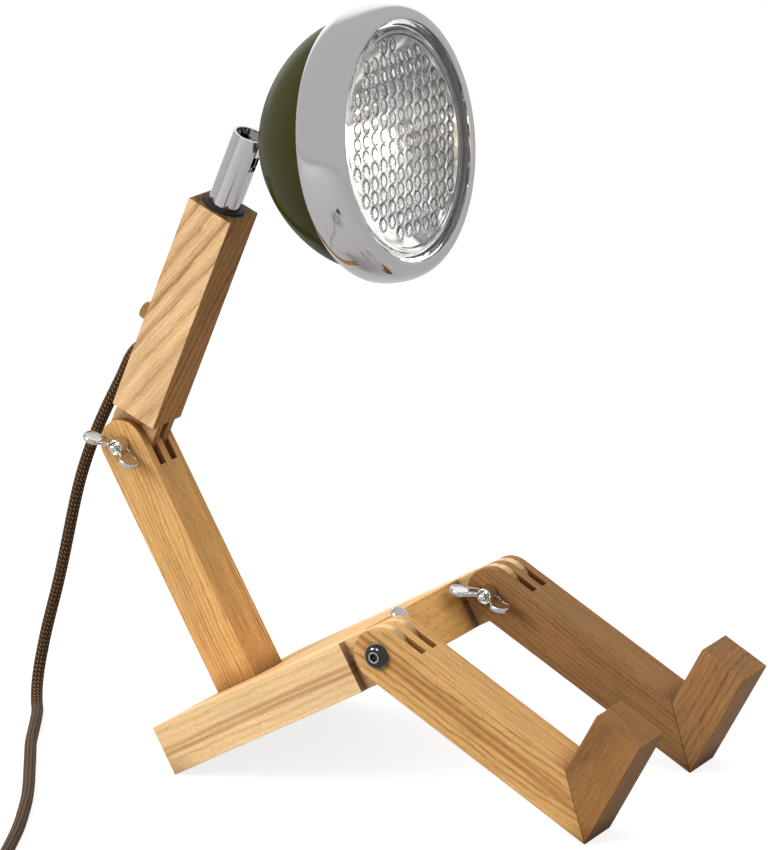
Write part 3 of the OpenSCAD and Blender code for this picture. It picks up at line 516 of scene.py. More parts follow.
def eased_block(node_name, body):
    """A copy of a CAD node with merged points, joined flat faces and a narrow bevel."""
    work = bmesh.new()
    work.from_mesh(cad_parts[node_name].data)
    bmesh.ops.remove_doubles(work, verts=work.verts, dist=2e-6)
    bmesh.ops.dissolve_limit(work, angle_limit=math.radians(0.5), verts=work.verts, edges=work.edges)
    mesh = bpy.data.meshes.new(node_name + "_wood")
    work.to_mesh(mesh)
    work.free()
    mesh.shade_smooth()
    mesh.set_sharp_from_angle(angle=math.radians(35))
    piece = bpy.data.objects.new(node_name + "_wood", mesh)
    bpy.context.collection.objects.link(piece)
    bevel = piece.modifiers.new("broken_edges", "BEVEL")
    bevel.width, bevel.segments, bevel.limit_method = EDGE_W, 2, "ANGLE"
    bevel.angle_limit = math.radians(40)
    bevel.harden_normals = False
    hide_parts(node_name)
    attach(piece, body)
    return piece


blocks = {
    name: eased_block(name, body)
    for name, body in {
        "pelvis_board": "base", "torso_block": "base", "neck_block": "neck",
        "leg_right": "right_leg", "foot_right": "right_leg",
        "leg_left": "left_leg", "foot_left": "left_leg",
    }.items()
}
print("blocks", {name: len(o.data.vertices) for name, o in blocks.items()})

# %% [markdown]
# Each hinge is pinched by a bolt and a wing nut. The nut is cast: a round
# boss with two upright wings, whose faces are flat and whose rims are round.
# It could be a plate with a Bevel, but a real rim is a swell that narrows
# towards the flat. So the wing's outline is carried through its thickness
# while it shrinks towards its middle, like the layers of a pebble.

# %% Helper: a wing of a nut
WING_T, WING_R = 2.0, 4.2
tip = np.radians(np.arange(-60, 131, 12))
wing_line = np.vstack([
    [[2.2, 0.9], [4.6, 1.0], [6.6, 2.6], [9.0, 3.6]],
    np.stack([8.8 + WING_R * np.cos(tip), 7.8 + WING_R * np.sin(tip)], -1),
    [[4.4, 7.4], [2.2, 5.2]],
])


def evenly_round(line, count, passes):
    """A closed line with evenly spaced points, then softened: each point becomes a quarter of
    both neighbours and half of itself."""
    ring_of = np.vstack([line, line[:1]])
    run = np.concatenate([[0], np.cumsum(np.linalg.norm(np.diff(ring_of, axis=0), axis=1))])
    even = np.linspace(0, run[-1], count, endpoint=False)
    out = np.stack([np.interp(even, run, ring_of[:, c]) for c in range(2)], -1)
    for _ in range(passes):
        out = (np.roll(out, 1, 0) + 2 * out + np.roll(out, -1, 0)) / 4
    return out


def wing_shell(seat, out, way):
    """Rows of the outline, each drawn in by some length and moved across the wing's thickness,
    closed by a fan on both faces."""
    line, middle = evenly_round(wing_line, 64, 2), np.array([7.2, 5.6])
    half = np.array([
        [2.6, 0.30], [1.5, 0.31], [0.95, 0.40], [0.55, 0.5], [0.2, 0.44], [0.03, 0.28], [0.0, 0.1]])
    rows = np.vstack([half, half[::-1] * [1, -1]])
    from_middle = line - middle
    length = np.linalg.norm(from_middle, axis=1)[None, :, None]
    flat = middle + from_middle * (1 - rows[:, :1, None] / length)
    across = np.broadcast_to(rows[:, 1][:, None] * WING_T, flat.shape[:2])
    flat = np.vstack([flat.reshape(-1, 2), middle, middle])
    across = np.append(across.ravel(), [half[0, 1] * WING_T, -half[0, 1] * WING_T])
    side = np.cross(way, out)
    points = seat + flat[:, :1] * way + flat[:, 1:] * out + across[:, None] * side
    return points * MM, capped_faces(len(rows), len(line))


print("wing outline", len(wing_line), "corners")

# %% [markdown]
# A nut is one boss and two such wings, closed shells that overlap in one
# piece. The boss sits on the wood, and its wings point as in the picture.

# %% Hinges: wing nuts
HIP_HINGE = np.array([21.189, 0, 60.457])
LEAN = 28.137
boss_line = eased_corners([
    [0, 0], [0, 3.7], [0.9, 3.7], [1.9, 3.4], [4.8, 3.1], [4.8, 2.3], [4.1, 2.0], [4.1, 0]], 0.5, 5)


def wing_nut(name, node, body, seat, out, turn):
    """A cast boss and two wings that point both ways at an angle above the lamp's forward direction."""
    out = np.array([0, out, 0.0])
    angle = math.radians(turn)
    way = np.array([math.cos(angle), 0, math.sin(angle)])
    nut = joined(name, [
        turned_shell(boss_line, start=seat, axis=out, sides=64),
        wing_shell(seat, out, way), wing_shell(seat, out, -way)])
    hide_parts(node)
    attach(nut, body)
    return nut


nuts = [
    wing_nut("neck_nut_cast", "neck_wing_nut", "neck_nut", NECK_HINGE + [0, -10, 0], -1, 154),
    wing_nut("right_nut_cast", "hip_wing_nut_right", "right_hip_nut", HIP_HINGE + [0, -33, 0], 1, 104 + LEAN),
    wing_nut("left_nut_cast", "hip_wing_nut_left", "left_hip_nut", HIP_HINGE + [0, 33, 0], -1, 138 + LEAN),
]
print("wing nuts", [len(nut.data.vertices) for nut in nuts])

# %% [markdown]
# A bolt is one turned shape too. Its head is a low dome with a six-sided
# socket. The socket's rows are six-sided and the dome's are round, and the
# mesh between them makes the chamfer that a real socket has. The far end is
# turned down to a small rounded tip.

# %% Hinges: bolts
BOLT_LENGTH, HEAD_H, HEAD_R, SOCKET_R, SHANK_R, TIP_R = 27.4, 2.75, 4.75, 1.5, 2.5, 1.5


def hinge_bolt(name, node, body, seat, along):
    """A bolt from its head's seat along y, its rows given as (along, radius, six-sidedness)."""
    dome = np.radians(np.arange(0, 91, 9))
    rows = np.vstack([
        [[-0.9, 0, 1], [-0.95, SOCKET_R * 0.96, 1], [-2.55, SOCKET_R, 1],
         [-2.72, SOCKET_R + 0.12, 0.9], [-HEAD_H, SOCKET_R + 0.4, 0.1]],
        np.stack([HEAD_H * (0.85 * (1 - np.cos(dome)) - 1), HEAD_R * (0.45 + 0.55 * np.sin(dome)), 0 * dome], -1),
        [[-0.15, HEAD_R, 0], [0, HEAD_R - 0.15, 0], [0, SHANK_R, 0], [BOLT_LENGTH - 4.4, SHANK_R, 0],
         [BOLT_LENGTH - 3.6, TIP_R, 0], [BOLT_LENGTH - 0.9, TIP_R, 0], [BOLT_LENGTH - 0.4, 1.35, 0],
         [BOLT_LENGTH - 0.1, 0.9, 0], [BOLT_LENGTH, 0.4, 0], [BOLT_LENGTH, 0, 0]],
    ])
    bolt = turned(name, rows, start=seat, axis=np.array([0, along, 0.0]), sides=96)
    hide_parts(node)
    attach(bolt, body)
    return bolt, seat


bolts = [
    hinge_bolt("neck_bolt_turned", "neck_bolt", "base", NECK_HINGE + [0, 10, 0], -1),
    hinge_bolt("right_bolt_turned", "hip_bolt_right", "right_leg", HIP_HINGE + [0, -53, 0], 1),
    hinge_bolt("left_bolt_turned", "hip_bolt_left", "left_leg", HIP_HINGE + [0, 53, 0], -1),
]
print("bolts", [len(bolt.data.vertices) for bolt, _ in bolts])

# %% [markdown]
# Materials are drawn with nodes. A few small helpers keep the node trees
# short: one adds a node and fills its inputs in a single call, and the others
# wrap the kinds that are used most, so that a colour ramp, a noise or a bump
# reads as one word in a formula.


# %% Helper: shader nodes in one line
def give(node, key, value):
    """One input of a node. A socket is linked and a value set, a colour with a 1 added to its three numbers."""
    socket = node.inputs[key]
    if isinstance(value, bpy.types.NodeSocket):
        node.id_data.links.new(value, socket)
    else:
        socket.default_value = (*value, 1)[:4] if socket.type == "RGBA" else value


def add(tree, kind, inputs=None, **settings):
    """A node with its settings and its inputs."""
    made = tree.nodes.new("ShaderNode" + kind)
    for key, value in settings.items():
        setattr(made, key, value)
    for key, value in (inputs or {}).items():
        give(made, key, value)
    return made


def tree_of(*values):
    """The tree of the first socket among some values."""
    return next(v for v in values if isinstance(v, bpy.types.NodeSocket)).id_data


def calc(operation, a, b=0.0, c=0.0):
    """One Math node, its three inputs numbers or sockets."""
    return add(tree_of(a, b, c), "Math", {0: a, 1: b, 2: c}, operation=operation).outputs[0]


def ramp(factor, stops):
    """A smooth colour ramp from (place, colour) pairs. A plain number is a grey."""
    made = add(factor.id_data, "ValToRGB", {"Fac": factor})
    bar = made.color_ramp
    bar.interpolation = "EASE"
    while len(bar.elements) < len(stops):
        bar.elements.new(0.5)
    for element, (place, colour) in zip(bar.elements, stops):
        element.position = place
        element.color = (*(colour if isinstance(colour, tuple) else (colour,) * 3), 1)
    return made.outputs["Color"]


def blend(factor, a, b, way="MIX"):
    """Two colours mixed by a factor, or multiplied and so on."""
    tree = tree_of(factor, a, b)
    return add(tree, "Mix", {0: factor, 6: a, 7: b}, data_type="RGBA", blend_type=way).outputs[2]


def tinted(colour, by):
    """One colour times another."""
    return blend(1.0, colour, by, "MULTIPLY")


def spot(tree, kind="Object"):
    """Where the shaded spot is, on the object's own axes, or its normal or its place on the UV map."""
    return add(tree, "TexCoord").outputs[kind]


def part(vector, axis):
    """One of a vector's three numbers."""
    return add(vector.id_data, "SeparateXYZ", {"Vector": vector}).outputs[axis]


def vector_calc(operation, a, b=(0, 0, 0)):
    """One Vector Math node, its answer a vector or a number."""
    made = add(a.id_data, "VectorMath", {0: a, 1: tuple(b)}, operation=operation)
    return made.outputs["Value" if operation in ("LENGTH", "DOT_PRODUCT") else "Vector"]


def noise(place, scale, detail=2.0, rough=0.5):
    """Noise from 0 to 1 with so many waves to a unit."""
    values = {"Vector": place, "Scale": scale, "Detail": detail, "Roughness": rough}
    return add(place.id_data, "TexNoise", values).outputs["Fac"]


def bump(height, strength, depth):
    """A bump whose full height is a depth in mm."""
    values = {"Height": height, "Strength": strength, "Distance": depth * MM}
    return add(height.id_data, "Bump", values).outputs[0]


def new_material(name):
    """A material, its tree and its Principled shader."""
    material = bpy.data.materials.new(name)
    material.use_nodes = True
    return material, material.node_tree, material.node_tree.nodes["Principled BSDF"]


def set_sockets(shader, **values):
    """The shader's own sockets, set or linked. Underscores stand for the spaces in their names."""
    for key, value in values.items():
        give(shader, key.replace("_", " "), value)


def wear(piece, material):
    """The piece shows only this material."""
    piece.data.materials.clear()
    piece.data.materials.append(material)


print("helpers ready")

# %% [markdown]
# Ash is ring-porous: each year it grows a band of open pores, then a band of
# dense, pale wood. A saw shows this as straight lines, tall arches or end
# rings, by how it meets the tree. So the wood here is solid, as in a tree: a
# Mapping node turns object space so that x runs along the grain and the
# tree's middle is at zero, the distance from that middle counts the rings,
# and each block then shows the right figure on every face by itself. Noise,
# stretched along the grain, bends the rings and draws pores and fibres. Last,
# the colour gets painted light and shade: the faces to the lamp's front are
# tinted lighter or darker, and an ambient occlusion node paints shade into
# slots and corners.


# %% Wood: ash
NEARLY_Y = Vector((0, 1, 0.02))
PAINTED_SHADE_REACH = 0.009


def ash(name, grain, middle, pith_to, ring, bend, wobble, seed, pale, dark=(0.45, 0.19, 0.052),
        lines=0.75, fine=0.9, ends=0.4, streak=None, vein_depth=0.75, front=(1, 1, 1)):
    """Oiled ash. grain is the tree's direction, middle a point of the block in mm, and pith_to
    the way from there to the tree's middle in mm. ring is the rings' spacing in mm, bend and
    wobble how far they wander widely and closely, and lines their strength. fine is the
    strength of fibres and pores, and ends how much darker end grain is. streak is a dark
    vein's place and width in mm, and vein_depth how dark it is. front is painted light and
    shade: a tint on the faces to the lamp's front. Slots and corners get a painted shade."""
    material, tree, shader = new_material(name)
    along = Vector(grain).normalized()
    aside = along.cross(NEARLY_Y).normalized()
    turn = Matrix((along, aside, along.cross(aside)))
    place = add(tree, "Mapping", {
        "Vector": spot(tree), "Location": -(turn @ Vector(middle)),
        "Rotation": turn.to_euler(), "Scale": (1000, 1000, 1000)}).outputs[0]

    def drawn(*scale):
        """Noise on the wood's own axes, in mm. A small scale along the grain draws it out."""
        shift = (seed, seed * 0.7, seed * 1.3)
        there = add(tree, "Mapping", {"Vector": place, "Location": shift, "Scale": scale}).outputs[0]
        return noise(there, 1.0, 3.0, 0.55)

    def spread(value, by, around):
        """A share from 0 to 1 becomes a number that varies by so much around a middle."""
        return calc("MULTIPLY_ADD", value, by, around - by / 2)

    # Rings: how far each place is from the pith, cut into years of unequal strength
    drift = calc("ADD", spread(drawn(0.012, 0.05, 0.05), 9.0 * bend, 0),
                 spread(drawn(0.09, 0.3, 0.3), 3.0 * wobble, 0))
    from_pith = vector_calc("SUBTRACT", place, turn @ Vector(pith_to))
    radius = vector_calc("LENGTH", vector_calc("MULTIPLY", from_pith, (0, 1, 1)))
    years = calc("DIVIDE", calc("ADD", radius, drift), ring)
    band = ramp(calc("FRACT", years), [(0.0, 0.55), (0.12, 1), (0.34, 0.5), (0.6, 0.08), (1.0, 0.3)])
    luck = add(tree, "TexWhiteNoise", {"W": calc("FLOOR", years)}, noise_dimensions="1D").outputs["Value"]
    porous = calc("MULTIPLY", band, spread(luck, 0.7, 0.65))

    # Fibres, open pores as short dashes, mottle and broad patches
    fibres = drawn(0.05, 1.7, 1.7)
    pores = calc("MULTIPLY_ADD", porous, 0.1, drawn(0.16, 3.2, 3.2))
    pit = calc("MULTIPLY", calc("GREATER_THAN", pores, 0.63), spread(porous, 0.6, 0.7))
    base = blend(calc("MULTIPLY", porous, lines), pale, dark)
    if streak:
        there = calc("MULTIPLY_ADD", drift, 0.8, part(place, "Y"))
        off = calc("DIVIDE", calc("SUBTRACT", there, streak[0]), streak[1])
        vein = ramp(calc("MULTIPLY_ADD", off, 0.25, 0.5), [
            (0.0, 0), (0.3, 1), (0.5, 0.35), (0.72, 0.9), (1.0, 0)])
        base = blend(calc("MULTIPLY", vein, vein_depth), base, dark)
    tone = spread(fibres, fine, 1)
    for wide in (drawn(0.8, 1.6, 1.6), drawn(0.016, 0.09, 0.09)):
        tone = calc("MULTIPLY", tone, spread(wide, 0.5, 1))
    base = tinted(base, add(tree, "CombineColor", {0: tone, 1: tone, 2: tone}).outputs[0])
    base = blend(calc("MULTIPLY", pit, 0.65 * fine), base, tuple(0.6 * v for v in dark))

    # End grain drinks oil; the front faces get painted light and shade, and slots and corners painted shade
    ended = calc("ABSOLUTE", vector_calc("DOT_PRODUCT", spot(tree, "Normal"), along))
    cut_end = calc("MULTIPLY", ramp(ended, [(0.72, 0), (0.86, 1)]), ends)
    base = blend(cut_end, base, tinted(base, (0.25, 0.2, 0.19)))
    # Painted light and shade: the front tint lightens or darkens the faces to the lamp's front, as the light
    # falls there
    forward = ramp(part(spot(tree, "Normal"), "X"), [(0.3, 0), (0.7, 1)])
    base = blend(forward, base, tinted(base, front))
    # Painted shade: ambient occlusion darkens slots and corners towards brown
    painted_shade_ao = add(tree, "AmbientOcclusion", {"Distance": PAINTED_SHADE_REACH}, samples=8).outputs["AO"]
    base = blend(calc("POWER", painted_shade_ao, 1.5), tinted(base, (0.3, 0.2, 0.13)), base)

    # The open pores are dull and sunk
    sunk = calc("MULTIPLY_ADD", pit, 0.8, calc("MULTIPLY", porous, 0.25))
    height = calc("SUBTRACT", calc("MULTIPLY", fibres, 0.35), sunk)
    set_sockets(shader, Base_Color=base, Roughness=calc("MULTIPLY_ADD", pit, 0.25, 0.48),
                Normal=bump(height, 0.3, 0.18), Specular_IOR_Level=0.05)
    return material


# %% [markdown]
# Each block was sawn from another board, so each gets its own direction of
# the grain, its own place in a tree and its own colour. They were read off
# the picture: close straight lines on the torso and the legs, broad arches on
# the neck, and a darker colour on the left leg and both feet, which is painted
# shade where the light falls off. The board's front faces get painted light,
# the neck's painted shade.

# %% Wood: one tree for each block
warm, honey = (0.79, 0.46, 0.175), (0.93, 0.64, 0.33)
# Painted shade: the dark colours of the right foot, the left leg and the left foot stand for the light falling
# off towards them
painted_shade_brown = (0.24, 0.115, 0.045)
woods = {
    # Painted light: front lightens the board's front faces, which the legs shade
    "pelvis_board": ash(
        "ash_board", (0.1, 1, 0.05), (-20, 0, 40), (40, 0, -70), 3.4, 1.6, 0.8, 3.1, (0.86, 0.51, 0.2),
        lines=0.3, fine=0.7, ends=0.0, front=(1.2, 1.12, 0.95)),
    "torso_block": ash(
        "ash_torso", (-0.46, 0.02, 0.885), (-100, 0, 70), (70, 80, 40), 1.25, 0.5, 0.25, 11.2, warm, ends=0.5),
    # Painted shade: front darkens the neck's front faces, which look down and away from the light
    "neck_block": ash(
        "ash_neck", (0.70, 0.0, 0.71), (-96, 0, 160), (45, 80, -45), 3.9, 0.5, 0.5, 21.4, (0.84, 0.55, 0.29),
        (0.38, 0.175, 0.06), lines=0.95, ends=0.8, front=(0.58, 0.48, 0.33)),
    "leg_right": ash(
        "ash_right_leg", (0.865, 0.02, -0.5), (70, -43, 30), (30, 90, 50), 1.5, 0.5, 0.3, 5.3, warm,
        streak=(3.0, 1.8)),
    "foot_right": ash(
        "ash_right_foot", (0.5, 0.02, 0.865), (130, -43, 30), (0, 130, 10), 2.6, 0.25, 0.15, 8.8,
        (0.37, 0.18, 0.062), painted_shade_brown, ends=0.1),
    "leg_left": ash(
        "ash_left_leg", (0.865, -0.02, -0.5), (70, 43, 30), (35, 70, 60), 1.3, 0.4, 0.2, 15.7,
        (0.36, 0.185, 0.073), painted_shade_brown),
    "foot_left": ash(
        "ash_left_foot", (0.5, 0.02, 0.865), (130, 43, 30), (90, 8, -50), 2.7, 0.5, 1.1, 31.9,
        (0.42, 0.215, 0.085), painted_shade_brown, lines=0.8, ends=0.2),
}
for name, wood in woods.items():
    wear(blocks[name], wood)
print("woods", sorted(woods))

# %% [markdown]
# The seat board is glued up: its middle has the grain across, and the strips
# at its two ends, which carry the hips, have it from back to front. So the
# copy of the board is cut along both glue lines, without a gap, and the
# faces outside them take a second wood with a dark vein.

# %% Wood: the board's two end strips
GLUE_LINE = 33 * MM
strip_wood = ash(
    "ash_board_ends", (0.8819, 0.0, 0.4716), (-20, -43, 38), (-50, 80, 80), 2.3, 0.5, 0.2, 40.2, honey,
    lines=0.28, fine=0.4, streak=(0.0, 1.3), vein_depth=0.6)
board_mesh = blocks["pelvis_board"].data
board_mesh.materials.append(strip_wood)
work = bmesh.new()
work.from_mesh(board_mesh)
for side in (-GLUE_LINE, GLUE_LINE):
    bmesh.ops.bisect_plane(
        work, geom=work.verts[:] + work.edges[:] + work.faces[:], plane_co=(0, side, 0), plane_no=(0, 1, 0))
for face in work.faces:
    face.material_index = int(abs(face.calc_center_median().y) > GLUE_LINE)
work.to_mesh(board_mesh)
work.free()
print("board faces", len(board_mesh.polygons))

# %% [markdown]
# Metal needs little colour and much reflection. What makes it look real is
# what disturbs the mirror: a faint haze that changes from place to place and
# very shallow waves left by polishing. Both come from noise in the roughness
# and in a weak bump. Paint, rubber and plastic are made the same way, with
# more haze and a deeper grain.


# %% Metal, paint, rubber and plastic
def finish(name, colour, metal, rough, haze, grain, depth, strength, fleck, **sockets):
    """Noise, so many grains to a metre, varies the colour by a fleck and the roughness by a haze.
    Noise fourteen times as fine makes a bump, its depth in mm."""
    material, tree, shader = new_material(name)
    soft = noise(spot(tree), grain, 3.0)
    darker, brighter = (tuple(min(1, v * (1 + by)) for v in colour) for by in (-fleck, fleck))
    set_sockets(
        shader, Base_Color=blend(soft, darker, brighter),
        Roughness=calc("MULTIPLY_ADD", soft, haze, rough - haze / 2),
        Normal=bump(noise(spot(tree), grain * 14), strength, depth), Metallic=metal, **sockets)
    return material


chrome = finish("polished_chrome", (0.555, 0.535, 0.54), 1.0, 0.07, 0.03, 60, 0.004, 0.1, 0.02)
nickel = finish("bright_nickel", (0.58, 0.565, 0.54), 1.0, 0.14, 0.08, 150, 0.01, 0.2, 0.05)
steel = finish("black_chrome", (0.06, 0.056, 0.055), 1.0, 0.13, 0.08, 150, 0.01, 0.2, 0.1)
brass = finish("aged_brass", (0.42, 0.27, 0.1), 1.0, 0.3, 0.15, 200, 0.01, 0.3, 0.2)
mirror = finish("reflector_silver", (0.86, 0.86, 0.85), 1.0, 0.09, 0.05, 90, 0.01, 0.15, 0.02)
paint = finish("olive_enamel", (0.036, 0.035, 0.006), 0.0, 0.45, 0.1, 200, 0.012, 0.12, 0.06,
               Coat_Weight=0.3, Coat_Roughness=0.15, Specular_IOR_Level=0.0)
rubber = finish("black_rubber", (0.018, 0.018, 0.018), 0.0, 0.6, 0.15, 300, 0.03, 0.4, 0.2)
plastic = finish("black_moulding", (0.014, 0.014, 0.015), 0.0, 0.42, 0.1, 260, 0.03, 0.35, 0.15)
china = finish("white_porcelain", (0.8, 0.78, 0.74), 0.0, 0.3, 0.1, 200, 0.01, 0.2, 0.03)
print("nine finishes")

# %% [markdown]
# The bulb's frosted glass glows a warm white. The lens is clear glass, but
# pressed glass looks dark where a bubble meets the plate, because light that
# enters the steep foot doesn't come back out. A path tracer would need very
# many rays to find that, so the attribute made with the lens darkens the
# glass in a thin circle round each bubble.

# %% Glass: the bulb and the lens
frost, frost_tree, frost_shader = new_material("frosted_glass")
frost_noise = noise(spot(frost_tree), 600.0)
set_sockets(
    frost_shader, Base_Color=(0.9, 0.88, 0.82), Emission_Strength=5.0,
    Roughness=calc("MULTIPLY_ADD", frost_noise, 0.2, 0.3),
    Emission_Color=ramp(frost_noise, [(0.3, (1.0, 0.86, 0.62)), (0.7, (1.0, 0.9, 0.7))]))

glass, glass_tree, glass_shader = new_material("pressed_glass")
foot = add(glass_tree, "Attribute", attribute_name="bubble_foot").outputs["Fac"]
set_sockets(
    glass_shader, Roughness=0.0, IOR=1.5, Specular_IOR_Level=0.2, Transmission_Weight=1.0,
    Normal=bump(noise(spot(glass_tree), 90.0), 0.15, 0.2),
    Base_Color=ramp(foot, [(0.15, (1.0, 0.995, 0.985)), (0.7, (0.03, 0.027, 0.025))]))
print("glass", frost.name, glass.name)

# %% [markdown]
# Now each piece gets its finish. The bolts are black, but their turned tips
# and the socket's chamfer take a second, bright material. The picture's chrome
# shows no wood and no cord, as if white boards stood round it in the studio:
# so mirrors skip the board, the right leg, the feet and the cord.

# %% Which piece wears what
TIP_FROM, CHAMFER_IN, CHAMFER_OUT = 20 * MM, 1.55 * MM, 2.2 * MM
for piece, material in {bowl: paint, ring: chrome, lens: glass, dish: mirror, rubber_ring: rubber,
                        holder: china, bulb: frost, **{nut: nickel for nut in nuts}}.items():
    wear(piece, material)
for material, names in {
    chrome: ("neck_tube", "hinge_fork", "hinge_pin", "head_knuckle"),
    nickel: ("knuckle_nut", "plug_pins"),
    steel: ("torso_screws",),
    brass: ("tube_bush", "button_cap", "button_ring"),
    rubber: ("tube_gasket",),
    plastic: ("switch_body", "cord_bush", "plug_body"),
}.items():
    for name in names:
        wear(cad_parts[name], material)
for bolt, seat in bolts:
    wear(bolt, steel)
    bolt.data.materials.append(nickel)
    x, y, z = seat * MM
    for face in bolt.data.polygons:
        off_axis = math.hypot(face.center.x - x, face.center.z - z)
        face.material_index = int(abs(face.center.y - y) > TIP_FROM or CHAMFER_IN < off_axis < CHAMFER_OUT)
for piece in (blocks["pelvis_board"], blocks["leg_right"], blocks["foot_right"], blocks["foot_left"], cord):
    piece.visible_glossy = False
print("finishes on", len(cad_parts), "nodes")

# %% [markdown]
# The cord's cloth is a braid of brown yarn with a few tan threads. Two sets
# of threads wind round it in opposite ways and pass over and under. On the
# tube's own map (length along it, turn round it) each set is a stripe at a
# slant, so the braid stays even in every bend of the cord.

# %% Cloth: the braid
braid, braid_tree, braid_shader = new_material("braided_cloth")
THREADS, LAY, ABOVE_ZERO = 10, 520.0, 2000.0
on_tube = spot(braid_tree, "UV")
threads = []
for way in (1, -1):
    slant = calc("MULTIPLY_ADD", part(on_tube, "X"), LAY * way,
                 calc("MULTIPLY", part(on_tube, "Y"), THREADS))
    phase = calc("FRACT", calc("ADD", slant, ABOVE_ZERO))
    crown = calc("SINE", calc("MULTIPLY", phase, math.pi))
    threads.append((crown, calc("FLOOR", slant)))
(one, one_number), (other, other_number) = threads
yarn = calc("MAXIMUM", one, other)
both_numbers = calc("ADD", one_number, other_number)
tan_thread = calc("LESS_THAN", calc("FLOORED_MODULO", both_numbers, 2.0), 0.5)
for test in (calc("GREATER_THAN", one, other), calc("GREATER_THAN", one, 0.8)):
    tan_thread = calc("MULTIPLY", tan_thread, test)
fuzz = noise(spot(braid_tree), 2600.0)
cloth = blend(tan_thread, (0.030, 0.014, 0.006), (0.42, 0.25, 0.1))
# Painted shade: the valleys between the yarns are darkened nearly to black
valley_painted_shade = calc("MULTIPLY_ADD", yarn, -1.0, 1.0)
cloth = blend(valley_painted_shade, cloth, (0.012, 0.006, 0.003))
cloth = blend(calc("MULTIPLY", fuzz, 0.35), cloth, (0.07, 0.035, 0.015))
set_sockets(
    braid_shader, Base_Color=cloth, Roughness=0.75, Sheen_Weight=0.04, Sheen_Roughness=0.5,
    Specular_IOR_Level=0.2, Normal=bump(calc("MULTIPLY_ADD", fuzz, 0.2, yarn), 0.8, 0.3))
for piece in (cord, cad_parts["inner_lead"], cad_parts["head_lead"]):
    wear(piece, braid)
print("braid of", THREADS, "threads each way")

# %% [markdown]
# The table is a plain pale floor. Its own colour is a middle grey, so that it
# doesn't light the lamp's underside too much, and a glow that only the
# camera and mirrors see lifts it to white. The lamp's shadow stays. Rays that
# have passed the lens see a floor that is dark near the lamp and bright
# farther out, which gives the glass the picture's dark lower edge.

# %% Stage: the floor
CAMERA_GLOW, MIRROR_GLOW, GLASS_SHARE = 0.82, 0.4, 0.95
floor = new_piece("floor", [[-3, -3, 0], [3, -3, 0], [3, 3, 0], [-3, 3, 0]], [(0, 1, 2, 3)])
paper, paper_tree, paper_shader = new_material("white_paper")
wear(floor, paper)
fibre = noise(spot(paper_tree), 400.0)
set_sockets(paper_shader, Base_Color=(0.3, 0.3, 0.3), Roughness=0.95, Specular_IOR_Level=0.1,
            Normal=bump(fibre, 0.05, 0.1))
seen = add(paper_tree, "LightPath").outputs
looks = calc("MULTIPLY_ADD", seen["Is Glossy Ray"], MIRROR_GLOW,
             calc("MULTIPLY", seen["Is Camera Ray"], CAMERA_GLOW))
glow = add(paper_tree, "Emission", {"Color": (1, 1, 1), "Strength": looks})
both = add(paper_tree, "AddShader", {0: paper_shader.outputs[0], 1: glow.outputs[0]})
seen_below = ramp(part(spot(paper_tree), "X"), [(0.12, 0.02), (0.22, 0.06), (0.32, 1.1)])
low_glow = add(paper_tree, "Emission", {"Color": seen_below, "Strength": 1.0})
behind_lens = add(paper_tree, "MixShader", {
    0: calc("MULTIPLY", seen["Is Transmission Ray"], GLASS_SHARE),
    1: both.outputs[0], 2: low_glow.outputs[0]})
give(paper_tree.nodes["Material Output"], "Surface", behind_lens.outputs[0])
print("floor", floor.dimensions.x, "m wide")

# %% [markdown]
# The room is white on the lamp's back and left, and dim where its face looks:
# the picture shows that in the wood's darker front faces and in the dark
# parts of the lens. So the sky's brightness falls off towards one direction,
# with a smooth step of the angle to it. Mirrors see an even grey with one
# white side, glass sees one bright side above the lamp's left, and the camera
# sees plain white.

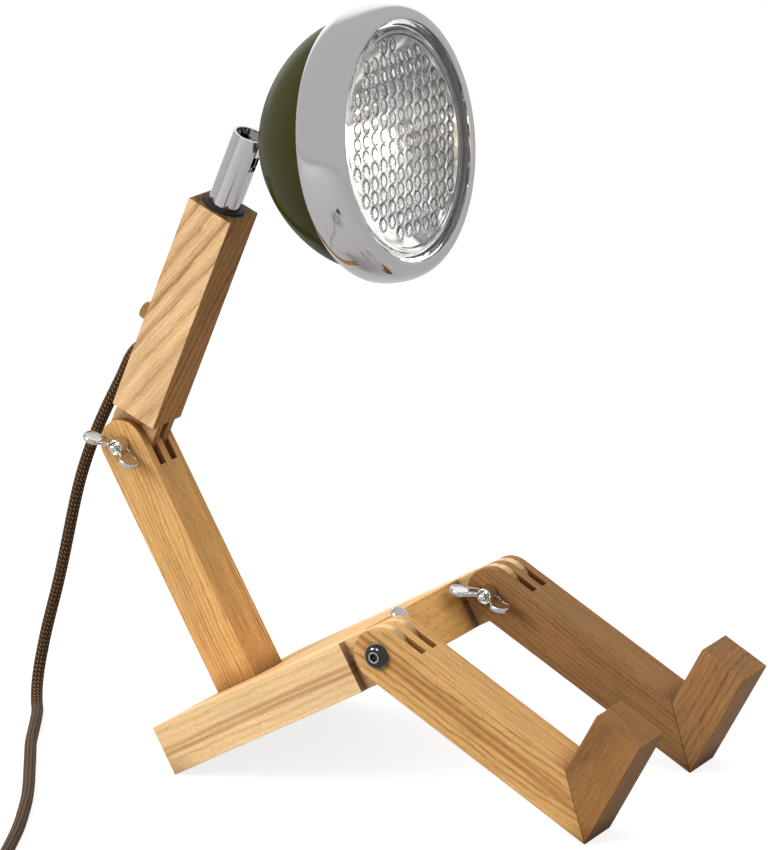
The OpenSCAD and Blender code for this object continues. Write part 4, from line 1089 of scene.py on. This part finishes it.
# %% Stage: the room
world = bpy.data.worlds.new("studio")
bpy.context.scene.world = world
world.use_nodes = True
sky = world.node_tree
way = spot(sky, "Generated")
to_dim, to_white, to_bright, to_head = (
    vector_calc("DOT_PRODUCT", way, Vector(side).normalized())
    for side in ((0.82, -0.25, -0.5), (-0.5, 0.84, 0.2), (0.7, 0.6, 0.4), HEAD_AXIS))
soft_dark = tinted(ramp(to_dim, [(0.2, 0.7), (0.9, 0.33)]), ramp(part(way, "Z"), [(0.0, 0.8), (1.0, 1.45)]))
in_mirrors = ramp(to_white, [(0.8, 0.75), (0.95, 1.5)])
through_glass = tinted(
    ramp(to_bright, [(0.0, 0.03), (0.12, 0.3), (0.22, 0.9), (0.42, 1.9)]),
    ramp(to_head, [(0.92, 1), (0.985, 0.35)]))
seen_by = add(sky, "LightPath").outputs
final_sky = None
for ray, colour in ((None, soft_dark), ("Is Glossy Ray", in_mirrors),
                    ("Is Transmission Ray", through_glass), ("Is Camera Ray", (1, 1, 1))):
    light = add(sky, "Background", {"Color": colour, "Strength": 1.0}).outputs[0]
    final_sky = add(sky, "MixShader", {0: seen_by[ray], 1: final_sky, 2: light}).outputs[0] if ray else light
give(sky.nodes["World Output"], "Surface", final_sky)
bpy.context.scene.view_settings.view_transform = "Standard"
print("room", world.name)

# %% [markdown]
# One broad lamp stands on the viewer's left, as the shadow in the picture
# says. Small dark bolts and bright nuts need small lamps to sparkle, so two
# more light only them: a light's own collection says which pieces it reaches.


# %% Stage: the light
LAMP_MIDDLE = Vector((0, -0.03, 0.12))


def studio_light(name, place, size, power, in_mirrors):
    """A square soft light at a place, turned to the middle of the model."""
    data = bpy.data.lights.new(name, "AREA")
    data.size, data.energy = size, power
    light = bpy.data.objects.new(name, data)
    light.location = place
    light.rotation_euler = (LAMP_MIDDLE - Vector(place)).to_track_quat("-Z", "Y").to_euler()
    light.visible_glossy = in_mirrors
    bpy.context.collection.objects.link(light)
    return light


key = studio_light("key_light", (-0.8, -1.15, 0.95), 0.7, 17, False)
bright_parts = bpy.data.collections.new("bright_hardware")
for piece in nuts + [bolt for bolt, _ in bolts]:
    bright_parts.objects.link(piece)
for name, place, size, power in (("sparkle_left", (-0.95, -1.1, 0.7), 0.4, 30.0),
                                 ("sparkle_right", (-0.15, -1.3, 1.0), 0.3, 20.0)):
    sparkle = studio_light(name, place, size, power, True)
    sparkle.light_linking.receiver_collection = bright_parts
print("key light at", tuple(round(v, 2) for v in key.location))
